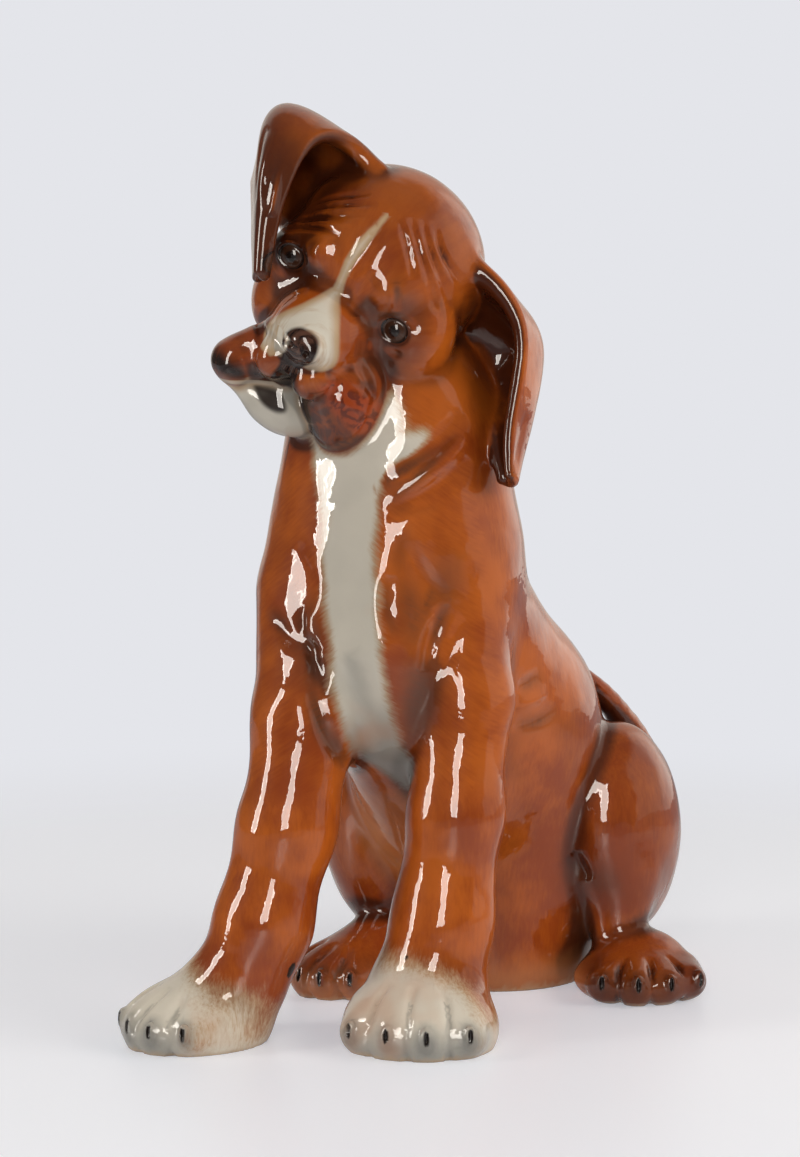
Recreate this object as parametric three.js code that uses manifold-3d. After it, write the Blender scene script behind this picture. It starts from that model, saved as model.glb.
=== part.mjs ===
// Sitting puppy figurine in glazed ceramic, about half a metre tall.
// It is one cast body: a smooth field of eggs and tapering limbs is joined with soft
// blends, two curved leaves make the ears, and the faceted skin is taken from that field.
// Millimetres. The puppy faces -Y, its left side is +X, and it rests on the plane Z = 0.

import * as THREE from 'three';
import Module from 'manifold-3d';

const wasm = await Module();
wasm.setup();

// Driving sizes

const gridStep = 4; // spacing of the samples that the skin is taken from
const faceCount = 9600; // facets left on the skin
const reach = { low: [-136, -164, -8], high: [168, 252, 516] }; // space that holds the puppy
const belowGround = 6; // the skin runs on this far under the feet and is cut off flat

const headAt = [-14, -7, 409]; // middle of the skull
const headTurn = { yaw: 4, nod: 11, tilt: 32 }; // degrees; the left ear hangs lower

const glaze = { color: 0xa9542b, roughness: 0.16, metalness: 0 };

// Masses. An egg has a middle and three radii. A limb runs through its points, with a
// radius at each. `soft` is the width of the blend that joins a mass to those before it,
// `cut` takes it away instead, `both` repeats it mirrored, and `lean` tips it over X.

const trunk = [
  { limb: [[14, 138, 70], [11, 96, 150], [-3, 20, 224]], radii: [74, 69, 64], soft: 24 },
  { egg: [14, 122, 30], radii: [62, 64, 76], soft: 20 }, // seat
  { limb: [[-4, 72, 122], [12, 108, 60]], radii: [50, 52], soft: 20 }, // belly
  { egg: [-4, -16, 205], radii: [44, 50, 60], soft: 26 }, // breast
  { limb: [[-2, -10, 165], [6, 50, 120]], radii: [32, 44], soft: 24 }, // brisket
  { limb: [[-5, 12, 262], [-4, 14, 316]], radii: [67, 57], soft: 30 }, // neck
  { limb: [[-4, 14, 316], [-6, 14, 345]], radii: [50, 44], soft: 20 }, // throat
  { limb: [[-38, -2, 246], [-22, 4, 310]], radii: [36, 42], soft: 24 }, // right shoulder
];

const leftForeleg = [{
  limb: [[28, 2, 236], [42, -16, 180], [43, -31, 120], [38, -38, 62], [34, -42, 36]],
  radii: [32, 25.5, 24.5, 26, 28],
  soft: 16,
}];
const rightForeleg = [{
  limb: [[-42, -14, 232], [-34, -54, 170], [-38, -71, 115], [-48, -80, 64], [-56, -86, 38]],
  radii: [34, 27, 25, 25, 24],
  soft: 16,
}];
const leftHindleg = [
  { egg: [86, 134, 86], radii: [36, 51, 64], lean: 10 }, // haunch
  { limb: [[94, 112, 66], [95, 106, 32]], radii: [21, 15], soft: 12 },
];
const rightHindleg = [
  { egg: [-40, 92, 90], radii: [36, 56, 62], lean: 20 },
  { limb: [[-38, 78, 54], [-26, 80, 28]], radii: [19, 15], soft: 16 },
];

// The tail curls up the left flank along a smooth curve
const tail = {
  path: [[44, 196, 38], [77, 198, 70], [86, 192, 108], [83, 177, 135], [75.5, 153, 158], [65, 139, 174]],
  radii: [17, 14.5, 12.2, 9.2, 7, 4.8],
  pieces: 3, // from each point of the path to the next
};

// Heading is where the paw points, and toesTo turns the fan of its toes further
const paws = {
  leftFore: { at: [34, -62], heading: 12, toesTo: -3, width: 84, length: 78, height: 38 },
  rightFore: { at: [-81, -98], heading: -50, toesTo: 24, width: 66, length: 78, height: 35 },
  leftHind: { at: [112, 90], heading: 14, toesTo: 16, width: 74, length: 72, height: 26 },
  rightHind: { at: [-44, 46], heading: -40, toesTo: 18, width: 58, length: 80, height: 32 },
};
const toeCount = 4;
const pawLift = 10; // height of the paws' widest line, above which they round over

// The head's masses are in its own frame: +X its left, -Y out of the face, +Z the crown.
const headMasses = [
  { egg: [3, 9, 5], radii: [55, 56, 53] }, // skull
  { egg: [0, -22, 8], radii: [40, 30, 34], soft: 20 }, // forehead
  { egg: [27, -8, -28], radii: [25, 34, 30], soft: 16, both: true }, // cheeks
  { egg: [19, -41, 9], radii: [11, 12, 11], soft: 7, both: true }, // brows
  { egg: [31, -25, -7], radii: [20, 18, 22], soft: 10, both: true }, // round the eyes
  { egg: [46, -8, -39], radii: [23, 32, 27], soft: 12 }, // left jowl, pressed out by the tilt
  { egg: [-28, 8, -36], radii: [22, 30, 26], soft: 14 }, // right jowl
  { egg: [0, -46, -28], radii: [27, 36, 24], soft: 14 }, // muzzle
  { limb: [[0, -12, -54], [0, -42, -70]], radii: [28, 19], soft: 12 }, // lower jaw
  { egg: [25, -47, -50], radii: [21, 24, 24], soft: 9 }, // left lip
  { limb: [[-13, -51, -47], [-35, -50, -67]], radii: [19, 11.5], soft: 9 }, // right lip
  { egg: [43, -20, -13], radii: [19, 24, 26], soft: 10 }, // left cheekbone
  { egg: [11, -66, -45], radii: [12, 14, 13], soft: 5, both: true }, // lip pads
  { egg: [32, -50, -60], radii: [17, 17, 20], soft: 8 }, // hanging corner of the left lip
  { egg: [-30, -54, -64], radii: [11.5, 14, 12.5], soft: 8 }, // and of the right lip
  { egg: [0, -46, -74], radii: [23, 20, 16], soft: 5 }, // chin
  { limb: [[-8, -48, -74], [-30, -50, -72]], radii: [13, 7.5], soft: 6 }, // its right side, under the lip
  { egg: [0, -79, -28], radii: [10.5, 8, 9], soft: 6 }, // nose
  { egg: [5.5, -82.5, -29], radii: [5, 5, 5.5], soft: 3, both: true },
  { egg: [5, -89, -29.5], radii: [2.2, 4.6, 2.2], soft: 1.4, both: true, cut: true }, // nostrils
  { egg: [33, -49, -7.5], radii: [10, 7.5, 8.4], soft: 3.5, cut: true }, // left eye and its hollow
  { egg: [33, -36.6, -7.5], radii: [8.3, 8.3, 7.8], soft: 1 },
  { egg: [-34.5, -48, -3], radii: [10, 7.5, 8.4], soft: 3.5, cut: true }, // right eye
  { egg: [-34.5, -35.6, -3], radii: [8.3, 8.3, 7.8], soft: 1 },
];

// Ears. Each row is a section, from the root to the tip: its middle, its spread from the
// back edge to the front rim, and how far it bows out between them.
const ears = {
  left: {
    bow: [0, 0.8, 1, 0.8, 0],
    rows: [
      [[35, 11, 380], [11, -30, 64], [-2, 19, 2]],
      [[48, 13, 374], [18, -36, 56], [5, 26, 2]],
      [[60, 11, 360], [25, -29, 40], [10, 23, 7]],
      [[62, -2, 339], [17, -13, 25], [7, 20, -3]],
      [[62, -11, 317], [9, -10, 10], [6, 13, -5]],
      [[66, -15, 300], [7, -8, 3], [2, 4, -3]],
    ],
  },
  right: {
    bow: [0, 0.45, 1, 0.8, 0], // a gutter runs along its back edge
    rows: [
      [[-30, -24, 449], [44, 9, 28], [-14, 18, 12]],
      [[-46, -20, 461], [51, -5, 34], [-12, 20, 24]],
      [[-52, -33, 472], [43, -21, 21], [-12, 12, 28]],
      [[-51, -51, 460], [30, -19, 19], [-3, -8, 24]],
      [[-51, -66, 433], [15, -15, 13], [2, -9, 10]],
      [[-51, -73, 406], [5, -4, 1], [1, -4, 3]],
    ],
  },
};
const earHalf = { tip: 3.4, root: 6 }; // half the ear's thickness

// Soft skin folds, as ridges (height over 0) or furrows along a curve of three points.
// Those of the brow fan out on either side of its middle furrow, over a round skull.
const skull = { middle: [0, -2, 2], radius: 55 };
const browFolds = { count: 4, width: 2.6, height: 2, from: [5, 43], over: [21, 33], to: [38, 11] };
const browSpread = { from: [5, 2], over: [4.4, 3.7], to: [3.4, 4.8] }; // from one fold to the next
const browFurrow = { path: [[0, 8], [0, 28], [0, 48]], width: 4.5, height: -2.4 };
const lipFurrow = { path: [[0, -86, -38], [0, -84, -46], [0, -78, -56]], width: 2.5, height: -2 };
const bodyFolds = [
  { path: [[42, -16, 333], [34, -29, 320], [16, -44, 302]], width: 5, height: -2.4 }, // neck
  { path: [[45, -17, 322], [36, -32, 308], [12, -48, 290]], width: 5, height: 2 },
  { path: [[46, -20, 311], [36, -34, 296], [10, -50, 280]], width: 5, height: -2 },
  { path: [[-3, -66, 205], [1, -62, 183], [8, -44, 155]], width: 8, height: -2.6 }, // breastbone
  { path: [[42, -37, 232], [34, -44, 215], [31, -47, 198]], width: 4.5, height: -1.8 }, // shoulders
  { path: [[35, -42, 228], [27, -48, 214], [26, -50, 198]], width: 4.5, height: 1.4 },
  { path: [[-37, -55, 229], [-27, -63, 209], [-17, -72, 184]], width: 4.5, height: -1.8 },
  { path: [[-26, -56, 235], [-30, -62, 214], [-33, -70, 197]], width: 4.5, height: 1.4 },
  { path: [[60, 22, 182], [65, 29, 184], [69, 39, 188]], width: 4, height: -1.8 }, // left elbow
  { path: [[58, 26, 162], [66, 37, 161], [76, 53, 168]], width: 4.5, height: -1.8 },
  { path: [[60, 24, 172], [65, 33, 173], [72, 46, 178]], width: 4, height: 1.4 },
  { path: [[74, 84, 80], [79, 87, 71], [83, 88, 64]], width: 4, height: -2.4 }, // flank
];

// Field functions. Each takes a point and returns the distance to the surface, under 0
// inside the ceramic.

const degrees = Math.PI / 180;

function join(a, b, soft) {
  const h = Math.max(soft - Math.abs(a - b), 0) / soft;
  return Math.min(a, b) - (h * h * h * soft) / 6;
}

function eggField(middle, radii, lean = 0) {
  const [rx, ry, rz] = radii;
  const c = Math.cos(lean * degrees);
  const s = Math.sin(lean * degrees);
  return (x, y, z) => {
    const dx = x - middle[0];
    const dy = y - middle[1];
    const dz = z - middle[2];
    const ly = dy * c + dz * s;
    const lz = dz * c - dy * s;
    const near = Math.hypot(dx / rx, ly / ry, lz / rz);
    const slope = Math.hypot(dx / (rx * rx), ly / (ry * ry), lz / (rz * rz));
    return (near * (near - 1)) / Math.max(slope, 1e-6);
  };
}

function coneField(a, b, ra, rb) {
  const axis = [b[0] - a[0], b[1] - a[1], b[2] - a[2]];
  const length2 = axis[0] ** 2 + axis[1] ** 2 + axis[2] ** 2;
  const taper = ra - rb;
  const slant2 = length2 - taper * taper;
  return (x, y, z) => {
    const px = x - a[0];
    const py = y - a[1];
    const pz = z - a[2];
    const along = px * axis[0] + py * axis[1] + pz * axis[2];
    const past = along - length2;
    const away2 = (px * length2 - along * axis[0]) ** 2
      + (py * length2 - along * axis[1]) ** 2
      + (pz * length2 - along * axis[2]) ** 2;
    const start2 = along * along * length2;
    const end2 = past * past * length2;
    const side = Math.sign(taper) * taper * taper * away2;
    if (Math.sign(past) * slant2 * end2 > side) return Math.sqrt(away2 + end2) / length2 - rb;
    if (Math.sign(along) * slant2 * start2 < side) return Math.sqrt(away2 + start2) / length2 - ra;
    return (Math.sqrt((away2 * slant2) / length2) + along * taper) / length2 - ra;
  };
}

function limbField(points, radii, soft) {
  const cones = points.slice(1).map((p, i) => coneField(points[i], p, radii[i], radii[i + 1]));
  return (x, y, z) => cones.reduce((d, cone) => join(d, cone(x, y, z), soft), Infinity);
}

function tailField({ path, radii, pieces }) {
  const curve = new THREE.CatmullRomCurve3(path.map((p) => new THREE.Vector3(...p)), false, 'catmullrom', 0.5);
  const count = (path.length - 1) * pieces;
  const points = [];
  const widths = [];
  for (let i = 0; i <= count; i += 1) {
    const from = Math.min(Math.floor(i / pieces), path.length - 2);
    points.push(curve.getPoint(i / count).toArray());
    widths.push(THREE.MathUtils.lerp(radii[from], radii[from + 1], i / pieces - from));
  }
  return limbField(points, widths, 1);
}

function massField(masses) {
  const steps = [];
  for (const mass of masses) {
    for (const side of mass.both ? [1, -1] : [1]) {
      const mirror = (p) => [side * p[0], p[1], p[2]];
      const field = mass.egg
        ? eggField(mirror(mass.egg), mass.radii, mass.lean)
        : limbField(mass.limb.map(mirror), mass.radii, mass.soft);
      steps.push({ field, soft: mass.soft ?? 10, cut: mass.cut });
    }
  }
  return (x, y, z) => {
    let d = steps[0].field(x, y, z);
    for (const step of steps.slice(1)) {
      const other = step.field(x, y, z);
      d = step.cut ? -join(-d, other, step.soft) : join(d, other, step.soft);
    }
    return d;
  };
}

function pawField({ at, heading, toesTo, width, length, height }) {
  const masses = [
    { egg: [0, 0, pawLift], radii: [width * 0.5, length * 0.5, height - pawLift] },
    { egg: [0, length * 0.2, height * 0.5], radii: [width * 0.36, length * 0.34, height * 0.85], soft: 16 },
  ];
  const toeC = Math.cos(toesTo * degrees);
  const toeS = Math.sin(toesTo * degrees);
  for (let i = 0; i < toeCount; i += 1) {
    const across = (2 * i) / (toeCount - 1) - 1;
    const aside = across * width * 0.33;
    const back = (across * across * 0.12 - 0.36) * length;
    const x = aside * toeC - back * toeS;
    const y = aside * toeS + back * toeC;
    masses.push({
      limb: [[x * 0.86, y + length * 0.2, height * 0.5], [x, y - 1, pawLift + 1]],
      radii: [width * 0.14, width * 0.135],
      soft: 6,
    });
  }
  const field = massField(masses);
  const c = Math.cos(heading * degrees);
  const s = Math.sin(heading * degrees);
  return (x, y, z) => {
    const dx = x - at[0];
    const dy = y - at[1];
    return field(dx * c + dy * s, dy * c - dx * s, z);
  };
}

// A ridge along a curve through three points, fading out at both ends
function foldField({ path, width, height }) {
  const [a, b, c] = path.map((p) => new THREE.Vector3(...p));
  const bend = b.clone().multiplyScalar(2).addScaledVector(a, -0.5).addScaledVector(c, -0.5);
  const points = new THREE.QuadraticBezierCurve3(a, bend, c).getPoints(10);
  const box = new THREE.Box3().setFromPoints(points).expandByScalar(3 * width);
  const spot = new THREE.Vector3();
  const foot = new THREE.Vector3();
  const parts = points.slice(1).map((p, i) => new THREE.Line3(points[i], p));
  return (x, y, z) => {
    spot.set(x, y, z);
    if (!box.containsPoint(spot)) return 0;
    let near = Infinity;
    let where = 0;
    parts.forEach((part, i) => {
      const t = part.closestPointToPointParameter(spot, true);
      part.at(t, foot);
      const away = foot.distanceToSquared(spot);
      if (away < near) {
        near = away;
        where = (i + t) / parts.length;
      }
    });
    return height * Math.sin(Math.PI * where) ** 0.7 * Math.exp(-near / (width * width));
  };
}

// A leaf is a smooth sheet over a cage of rows, with a thickness that grows at its root
function splineWeights(t) {
  return {
    value: [(1 - t) ** 3, 3 * t ** 3 - 6 * t * t + 4, -3 * t ** 3 + 3 * t * t + 3 * t + 1, t ** 3],
    slope: [-3 * (1 - t) ** 2, 9 * t * t - 12 * t, -9 * t * t + 6 * t + 3, 3 * t * t],
  };
}

function withEnds(list, mix) {
  const last = list.length - 1;
  return [mix(list[0], list[1]), ...list, mix(list[last], list[last - 1])];
}

function leafField({ bow, rows }) {
  const pushOut = (p, q) => p.map((v, i) => 2 * v - q[i]);
  const pushRow = (p, q) => p.map((v, i) => pushOut(v, q[i]));
  const sections = rows.map(([middle, spread, bulge]) => bow.map((out, j) => {
    const across = j / (bow.length - 1) - 0.5;
    return middle.map((v, i) => v + spread[i] * across + bulge[i] * out);
  }));
  const cage = withEnds(sections.map((row) => withEnds(row, pushOut)), pushRow);
  const long = rows.length - 1;
  const wide = bow.length - 1;

  const surface = (u, v) => {
    const i = Math.min(Math.floor(u), long - 1);
    const j = Math.min(Math.floor(v), wide - 1);
    const wu = splineWeights(u - i);
    const wv = splineWeights(v - j);
    const out = { point: [0, 0, 0], alongU: [0, 0, 0], alongV: [0, 0, 0] };
    for (let a = 0; a < 4; a += 1) {
      for (let b = 0; b < 4; b += 1) {
        const knot = cage[i + a][j + b];
        for (let k = 0; k < 3; k += 1) {
          out.point[k] += (wu.value[a] * wv.value[b] * knot[k]) / 36;
          out.alongU[k] += (wu.slope[a] * wv.value[b] * knot[k]) / 36;
          out.alongV[k] += (wu.value[a] * wv.slope[b] * knot[k]) / 36;
        }
      }
    }
    return out;
  };

  const seeds = [];
  for (let u = 0; u <= long; u += 1 / 3) {
    for (let v = 0; v <= wide; v += 1 / 3) {
      seeds.push({ u, v, point: surface(u, v).point });
    }
  }
  const box = new THREE.Box3().setFromPoints(seeds.map((seed) => new THREE.Vector3(...seed.point)));
  const wideBox = box.clone().expandByScalar(30);
  const spot = new THREE.Vector3();
  const dot = (p, q) => p[0] * q[0] + p[1] * q[1] + p[2] * q[2];

  return (x, y, z) => {
    spot.set(x, y, z);
    if (!wideBox.containsPoint(spot)) return box.distanceToPoint(spot);
    let near = Infinity;
    let { u, v } = seeds[0];
    for (const seed of seeds) {
      const away = (seed.point[0] - x) ** 2 + (seed.point[1] - y) ** 2 + (seed.point[2] - z) ** 2;
      if (away < near) {
        near = away;
        ({ u, v } = seed);
      }
    }
    for (let turn = 0; turn < 6; turn += 1) {
      const { point, alongU, alongV } = surface(u, v);
      const gap = [x - point[0], y - point[1], z - point[2]];
      const damp = 0.04 * (dot(alongU, alongU) + dot(alongV, alongV)) + 0.5;
      const uu = dot(alongU, alongU) + damp;
      const vv = dot(alongV, alongV) + damp;
      const uv = dot(alongU, alongV);
      const gu = dot(gap, alongU);
      const gv = dot(gap, alongV);
      const area = uu * vv - uv * uv;
      u = THREE.MathUtils.clamp(u + (vv * gu - uv * gv) / area, 0, long);
      v = THREE.MathUtils.clamp(v + (uu * gv - uv * gu) / area, 0, wide);
    }
    const { point } = surface(u, v);
    const rootShare = (1 - u / long) ** 2;
    const half = earHalf.tip + (earHalf.root - earHalf.tip) * rootShare;
    return Math.hypot(x - point[0], y - point[1], z - point[2]) - half;
  };
}

function onSkull([x, z]) {
  const [mx, my, mz] = skull.middle;
  return [x, my - Math.sqrt(Math.max(skull.radius ** 2 - (x - mx) ** 2 - (z - mz) ** 2, 1)), z];
}

// A fold of the brow, carried over the skull along the lines that meet in its middle
function skullFoldField({ path, width, height }) {
  const fold = foldField({ path: path.map(onSkull), width, height });
  const middle = new THREE.Vector3(...skull.middle);
  const spot = new THREE.Vector3();
  return (x, y, z) => {
    spot.set(x, y, z).sub(middle);
    if (spot.y > 18) return 0;
    spot.setLength(skull.radius).add(middle);
    return fold(spot.x, spot.y, spot.z);
  };
}

function headField() {
  const masses = massField(headMasses);
  const folds = [foldField(lipFurrow), skullFoldField(browFurrow)];
  for (const side of [1, -1]) {
    for (let i = 0; i < browFolds.count; i += 1) {
      const path = ['from', 'over', 'to'].map((place) => [
        side * (browFolds[place][0] + i * browSpread[place][0]),
        browFolds[place][1] + i * browSpread[place][1],
      ]);
      folds.push(skullFoldField({ ...browFolds, path }));
    }
  }
  const turn = new THREE.Matrix4()
    .makeRotationZ(headTurn.yaw * degrees)
    .multiply(new THREE.Matrix4().makeRotationX(headTurn.nod * degrees))
    .multiply(new THREE.Matrix4().makeRotationY(headTurn.tilt * degrees))
    .setPosition(...headAt)
    .invert();
  const spot = new THREE.Vector3();
  return (x, y, z) => {
    spot.set(x, y, z).applyMatrix4(turn);
    const at = spot.toArray();
    return masses(...at) - folds.reduce((sum, fold) => sum + fold(...at), 0);
  };
}

function puppyField() {
  const head = headField();
  const leaves = [leafField(ears.left), leafField(ears.right)];
  const body = massField(trunk);
  const limbs = [
    { leg: massField(leftForeleg), paw: pawField(paws.leftFore), ankle: 18, hip: 16 },
    { leg: massField(rightForeleg), paw: pawField(paws.rightFore), ankle: 22, hip: 16 },
    { leg: massField(leftHindleg), paw: pawField(paws.leftHind), ankle: 10, hip: 12 },
    { leg: massField(rightHindleg), paw: pawField(paws.rightHind), ankle: 14, hip: 12 },
  ];
  const folds = bodyFolds.map(foldField);
  const tailAt = tailField(tail);
  return (x, y, z) => {
    let d = body(x, y, z);
    for (const { leg, paw, ankle, hip } of limbs) {
      d = join(d, join(leg(x, y, z), paw(x, y, z), ankle), hip);
    }
    d = join(d, tailAt(x, y, z), 6);
    d -= folds.reduce((sum, fold) => sum + fold(x, y, z), 0);
    const face = leaves.reduce((sum, leaf) => join(sum, leaf(x, y, z), 10), head(x, y, z));
    return Math.max(join(d, face, 10), -belowGround - z);
  };
}

// Skin: the field's zero surface, taken from the six tetrahedra of every grid cell

function sampleField(field) {
  const size = reach.low.map((low, i) => Math.round((reach.high[i] - low) / gridStep) + 1);
  const index = (i, j, k) => (k * size[1] + j) * size[0] + i;
  const place = (i, j, k) => [i, j, k].map((n, axis) => reach.low[axis] + n * gridStep);
  const values = new Float32Array(size[0] * size[1] * size[2]).fill(100);
  const block = 4;
  const wide = block * gridStep;
  for (let k = 0; k < size[2]; k += block) {
    for (let j = 0; j < size[1]; j += block) {
      for (let i = 0; i < size[0]; i += block) {
        const middle = place(i + block / 2 - 0.5, j + block / 2 - 0.5, k + block / 2 - 0.5);
        const guess = field(...middle);
        const far = Math.abs(guess) > 1.6 * wide;
        for (let c = k; c < Math.min(k + block, size[2]); c += 1) {
          for (let b = j; b < Math.min(j + block, size[1]); b += 1) {
            for (let a = i; a < Math.min(i + block, size[0]); a += 1) {
              values[index(a, b, c)] = far ? guess : field(...place(a, b, c));
            }
          }
        }
      }
    }
  }
  return { size, index, place, values };
}

function skinOf(field) {
  const { size, index, place, values } = sampleField(field);
  const corners = [0, 1, 2, 3, 4, 5, 6, 7].map((n) => [n & 1, (n >> 1) & 1, (n >> 2) & 1]);
  const tetrahedra = [[0, 1, 3, 7], [0, 3, 2, 7], [0, 2, 6, 7], [0, 6, 4, 7], [0, 4, 5, 7], [0, 5, 1, 7]];
  const positions = [];
  const faces = [];
  const known = new Map();

  const crossing = (p, q) => {
    const [low, high] = p.id < q.id ? [p, q] : [q, p];
    const key = low.id * values.length + high.id;
    if (!known.has(key)) {
      const t = THREE.MathUtils.clamp(low.value / (low.value - high.value), 0.02, 0.98);
      const from = place(...low.cell);
      const to = place(...high.cell);
      known.set(key, positions.length);
      positions.push(from.map((v, i) => v + (to[i] - v) * t));
    }
    return known.get(key);
  };

  for (let k = 0; k < size[2] - 1; k += 1) {
    for (let j = 0; j < size[1] - 1; j += 1) {
      for (let i = 0; i < size[0] - 1; i += 1) {
        const cell = corners.map(([a, b, c]) => {
          const id = index(i + a, j + b, k + c);
          return { id, value: values[id], cell: [i + a, j + b, k + c] };
        });
        const inside = cell.filter((corner) => corner.value < 0).length;
        if (inside === 0 || inside === 8) continue;
        for (const tetrahedron of tetrahedra) {
          const four = tetrahedron.map((n) => cell[n]);
          const [low, high] = [four.filter((c) => c.value < 0), four.filter((c) => c.value >= 0)];
          const loop = loopAround(low, high, crossing);
          if (loop.length === 0) continue;
          orient(loop, low, high, positions, place);
          for (let n = 2; n < loop.length; n += 1) faces.push([loop[0], loop[n - 1], loop[n]]);
        }
      }
    }
  }
  return { positions, faces };
}

function loopAround(low, high, crossing) {
  if (low.length === 0 || high.length === 0) return [];
  if (low.length === 2) {
    return [
      crossing(low[0], high[0]), crossing(low[0], high[1]),
      crossing(low[1], high[1]), crossing(low[1], high[0]),
    ];
  }
  const [one, three] = low.length === 1 ? [low[0], high] : [high[0], low];
  return three.map((corner) => crossing(one, corner));
}

function orient(loop, low, high, positions, place) {
  const [a, b, c] = loop.map((n) => new THREE.Vector3(...positions[n]));
  const normal = b.sub(a).cross(c.sub(a));
  const middle = (group) => group
    .reduce((sum, corner) => sum.add(new THREE.Vector3(...place(...corner.cell))), new THREE.Vector3())
    .divideScalar(group.length);
  const outward = middle(high).sub(middle(low));
  if (normal.dot(outward) < 0) loop.reverse();
}

// Thinning: edges are drawn together, cheapest first, until faceCount facets are left.
// The cost is the squared distance from the planes that have met at the edge's ends.

class Heap {
  constructor() {
    this.items = [];
  }

  push(item) {
    const { items } = this;
    let n = items.push(item) - 1;
    while (n > 0) {
      const up = (n - 1) >> 1;
      if (items[up].cost <= items[n].cost) break;
      [items[up], items[n]] = [items[n], items[up]];
      n = up;
    }
  }

  pop() {
    const { items } = this;
    const top = items[0];
    const last = items.pop();
    if (items.length === 0) return top;
    items[0] = last;
    let n = 0;
    for (;;) {
      let down = 2 * n + 1;
      if (down >= items.length) break;
      if (down + 1 < items.length && items[down + 1].cost < items[down].cost) down += 1;
      if (items[n].cost <= items[down].cost) break;
      [items[down], items[n]] = [items[n], items[down]];
      n = down;
    }
    return top;
  }
}

const cross = (a, b) => [a[1] * b[2] - a[2] * b[1], a[2] * b[0] - a[0] * b[2], a[0] * b[1] - a[1] * b[0]];
const minus = (a, b) => [a[0] - b[0], a[1] - b[1], a[2] - b[2]];
const dot3 = (a, b) => a[0] * b[0] + a[1] * b[1] + a[2] * b[2];

function planeSum(positions, faces) {
  const sums = positions.map(() => new Float64Array(10));
  for (const [a, b, c] of faces) {
    const normal = cross(minus(positions[b], positions[a]), minus(positions[c], positions[a]));
    const area = Math.hypot(...normal);
    if (area < 1e-9) continue;
    const [x, y, z] = normal.map((v) => v / area);
    const w = -dot3([x, y, z], positions[a]);
    const terms = [x * x, x * y, x * z, x * w, y * y, y * z, y * w, z * z, z * w, w * w];
    for (const v of [a, b, c]) terms.forEach((term, i) => { sums[v][i] += term * area; });
  }
  return sums;
}

function planeCost(q, [x, y, z]) {
  return q[0] * x * x + 2 * q[1] * x * y + 2 * q[2] * x * z + 2 * q[3] * x
    + q[4] * y * y + 2 * q[5] * y * z + 2 * q[6] * y + q[7] * z * z + 2 * q[8] * z + q[9];
}

function cheapestPoint(q, a, b) {
  const choices = [a, b, a.map((v, i) => (v + b[i]) / 2)];
  const rows = [[q[0], q[1], q[2]], [q[1], q[4], q[5]], [q[2], q[5], q[7]]];
  const det = dot3(rows[0], cross(rows[1], rows[2]));
  const scale = (q[0] + q[4] + q[7]) ** 3;
  if (Math.abs(det) > 1e-4 * scale) {
    const right = [-q[3], -q[6], -q[8]];
    choices.push([
      dot3(right, cross(rows[1], rows[2])) / det,
      dot3(rows[0], cross(right, rows[2])) / det,
      dot3(rows[0], cross(rows[1], right)) / det,
    ]);
  }
  const length2 = dot3(minus(a, b), minus(a, b));
  const usable = choices.filter((p) => dot3(minus(p, choices[2]), minus(p, choices[2])) < 4 * length2);
  const priced = usable.map((point) => ({ point, cost: planeCost(q, point) + 2e-3 * length2 }));
  return priced.reduce((best, next) => (next.cost < best.cost ? next : best));
}

function thin({ positions, faces }) {
  const sums = planeSum(positions, faces);
  const around = positions.map(() => new Set());
  faces.forEach((face, n) => face.forEach((v) => around[v].add(n)));
  const version = new Uint32Array(positions.length);
  const gone = new Uint8Array(positions.length);
  const heap = new Heap();

  const neighbours = (v) => {
    const set = new Set();
    for (const n of around[v]) for (const w of faces[n]) if (w !== v) set.add(w);
    return set;
  };
  const offer = (a, b) => {
    const q = sums[a].map((v, i) => v + sums[b][i]);
    const { point, cost } = cheapestPoint(q, positions[a], positions[b]);
    heap.push({ a, b, point, cost, stamp: version[a] + version[b] });
  };
  const turnsOver = (v, other, point) => {
    for (const n of around[v]) {
      const face = faces[n];
      if (face.includes(other)) continue;
      const before = face.map((w) => positions[w]);
      const after = face.map((w) => (w === v ? point : positions[w]));
      const was = cross(minus(before[1], before[0]), minus(before[2], before[0]));
      const now = cross(minus(after[1], after[0]), minus(after[2], after[0]));
      if (dot3(was, now) < 0.3 * Math.hypot(...was) * Math.hypot(...now) + 1e-6) return true;
    }
    return false;
  };

  for (const [a, b, c] of faces) {
    if (a < b) offer(a, b);
    if (b < c) offer(b, c);
    if (c < a) offer(c, a);
  }
  let left = faces.length;
  while (left > faceCount && heap.items.length > 0) {
    const { a, b, point, stamp } = heap.pop();
    if (gone[a] || gone[b] || stamp !== version[a] + version[b]) continue;
    const besideA = neighbours(a);
    const shared = [...neighbours(b)].filter((v) => besideA.has(v));
    if (shared.length !== 2 || turnsOver(a, b, point) || turnsOver(b, a, point)) continue;
    positions[a] = point;
    sums[b].forEach((v, i) => { sums[a][i] += v; });
    gone[b] = 1;
    for (const n of [...around[b]]) {
      const face = faces[n];
      if (face.includes(a)) {
        face.forEach((v) => around[v].delete(n));
        faces[n] = null;
        left -= 1;
      } else {
        face[face.indexOf(b)] = a;
        around[a].add(n);
      }
    }
    const ring = neighbours(a);
    version[a] += 1;
    for (const v of ring) offer(Math.min(a, v), Math.max(a, v));
  }
  return { positions, faces: faces.filter((face) => face !== null) };
}

// Cutting the skin off flat at the ground

function solidOf({ positions, faces }) {
  return new wasm.Manifold(new wasm.Mesh({
    numProp: 3,
    vertProperties: new Float32Array(positions.flat()),
    triVerts: new Uint32Array(faces.flat()),
  }));
}

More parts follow.
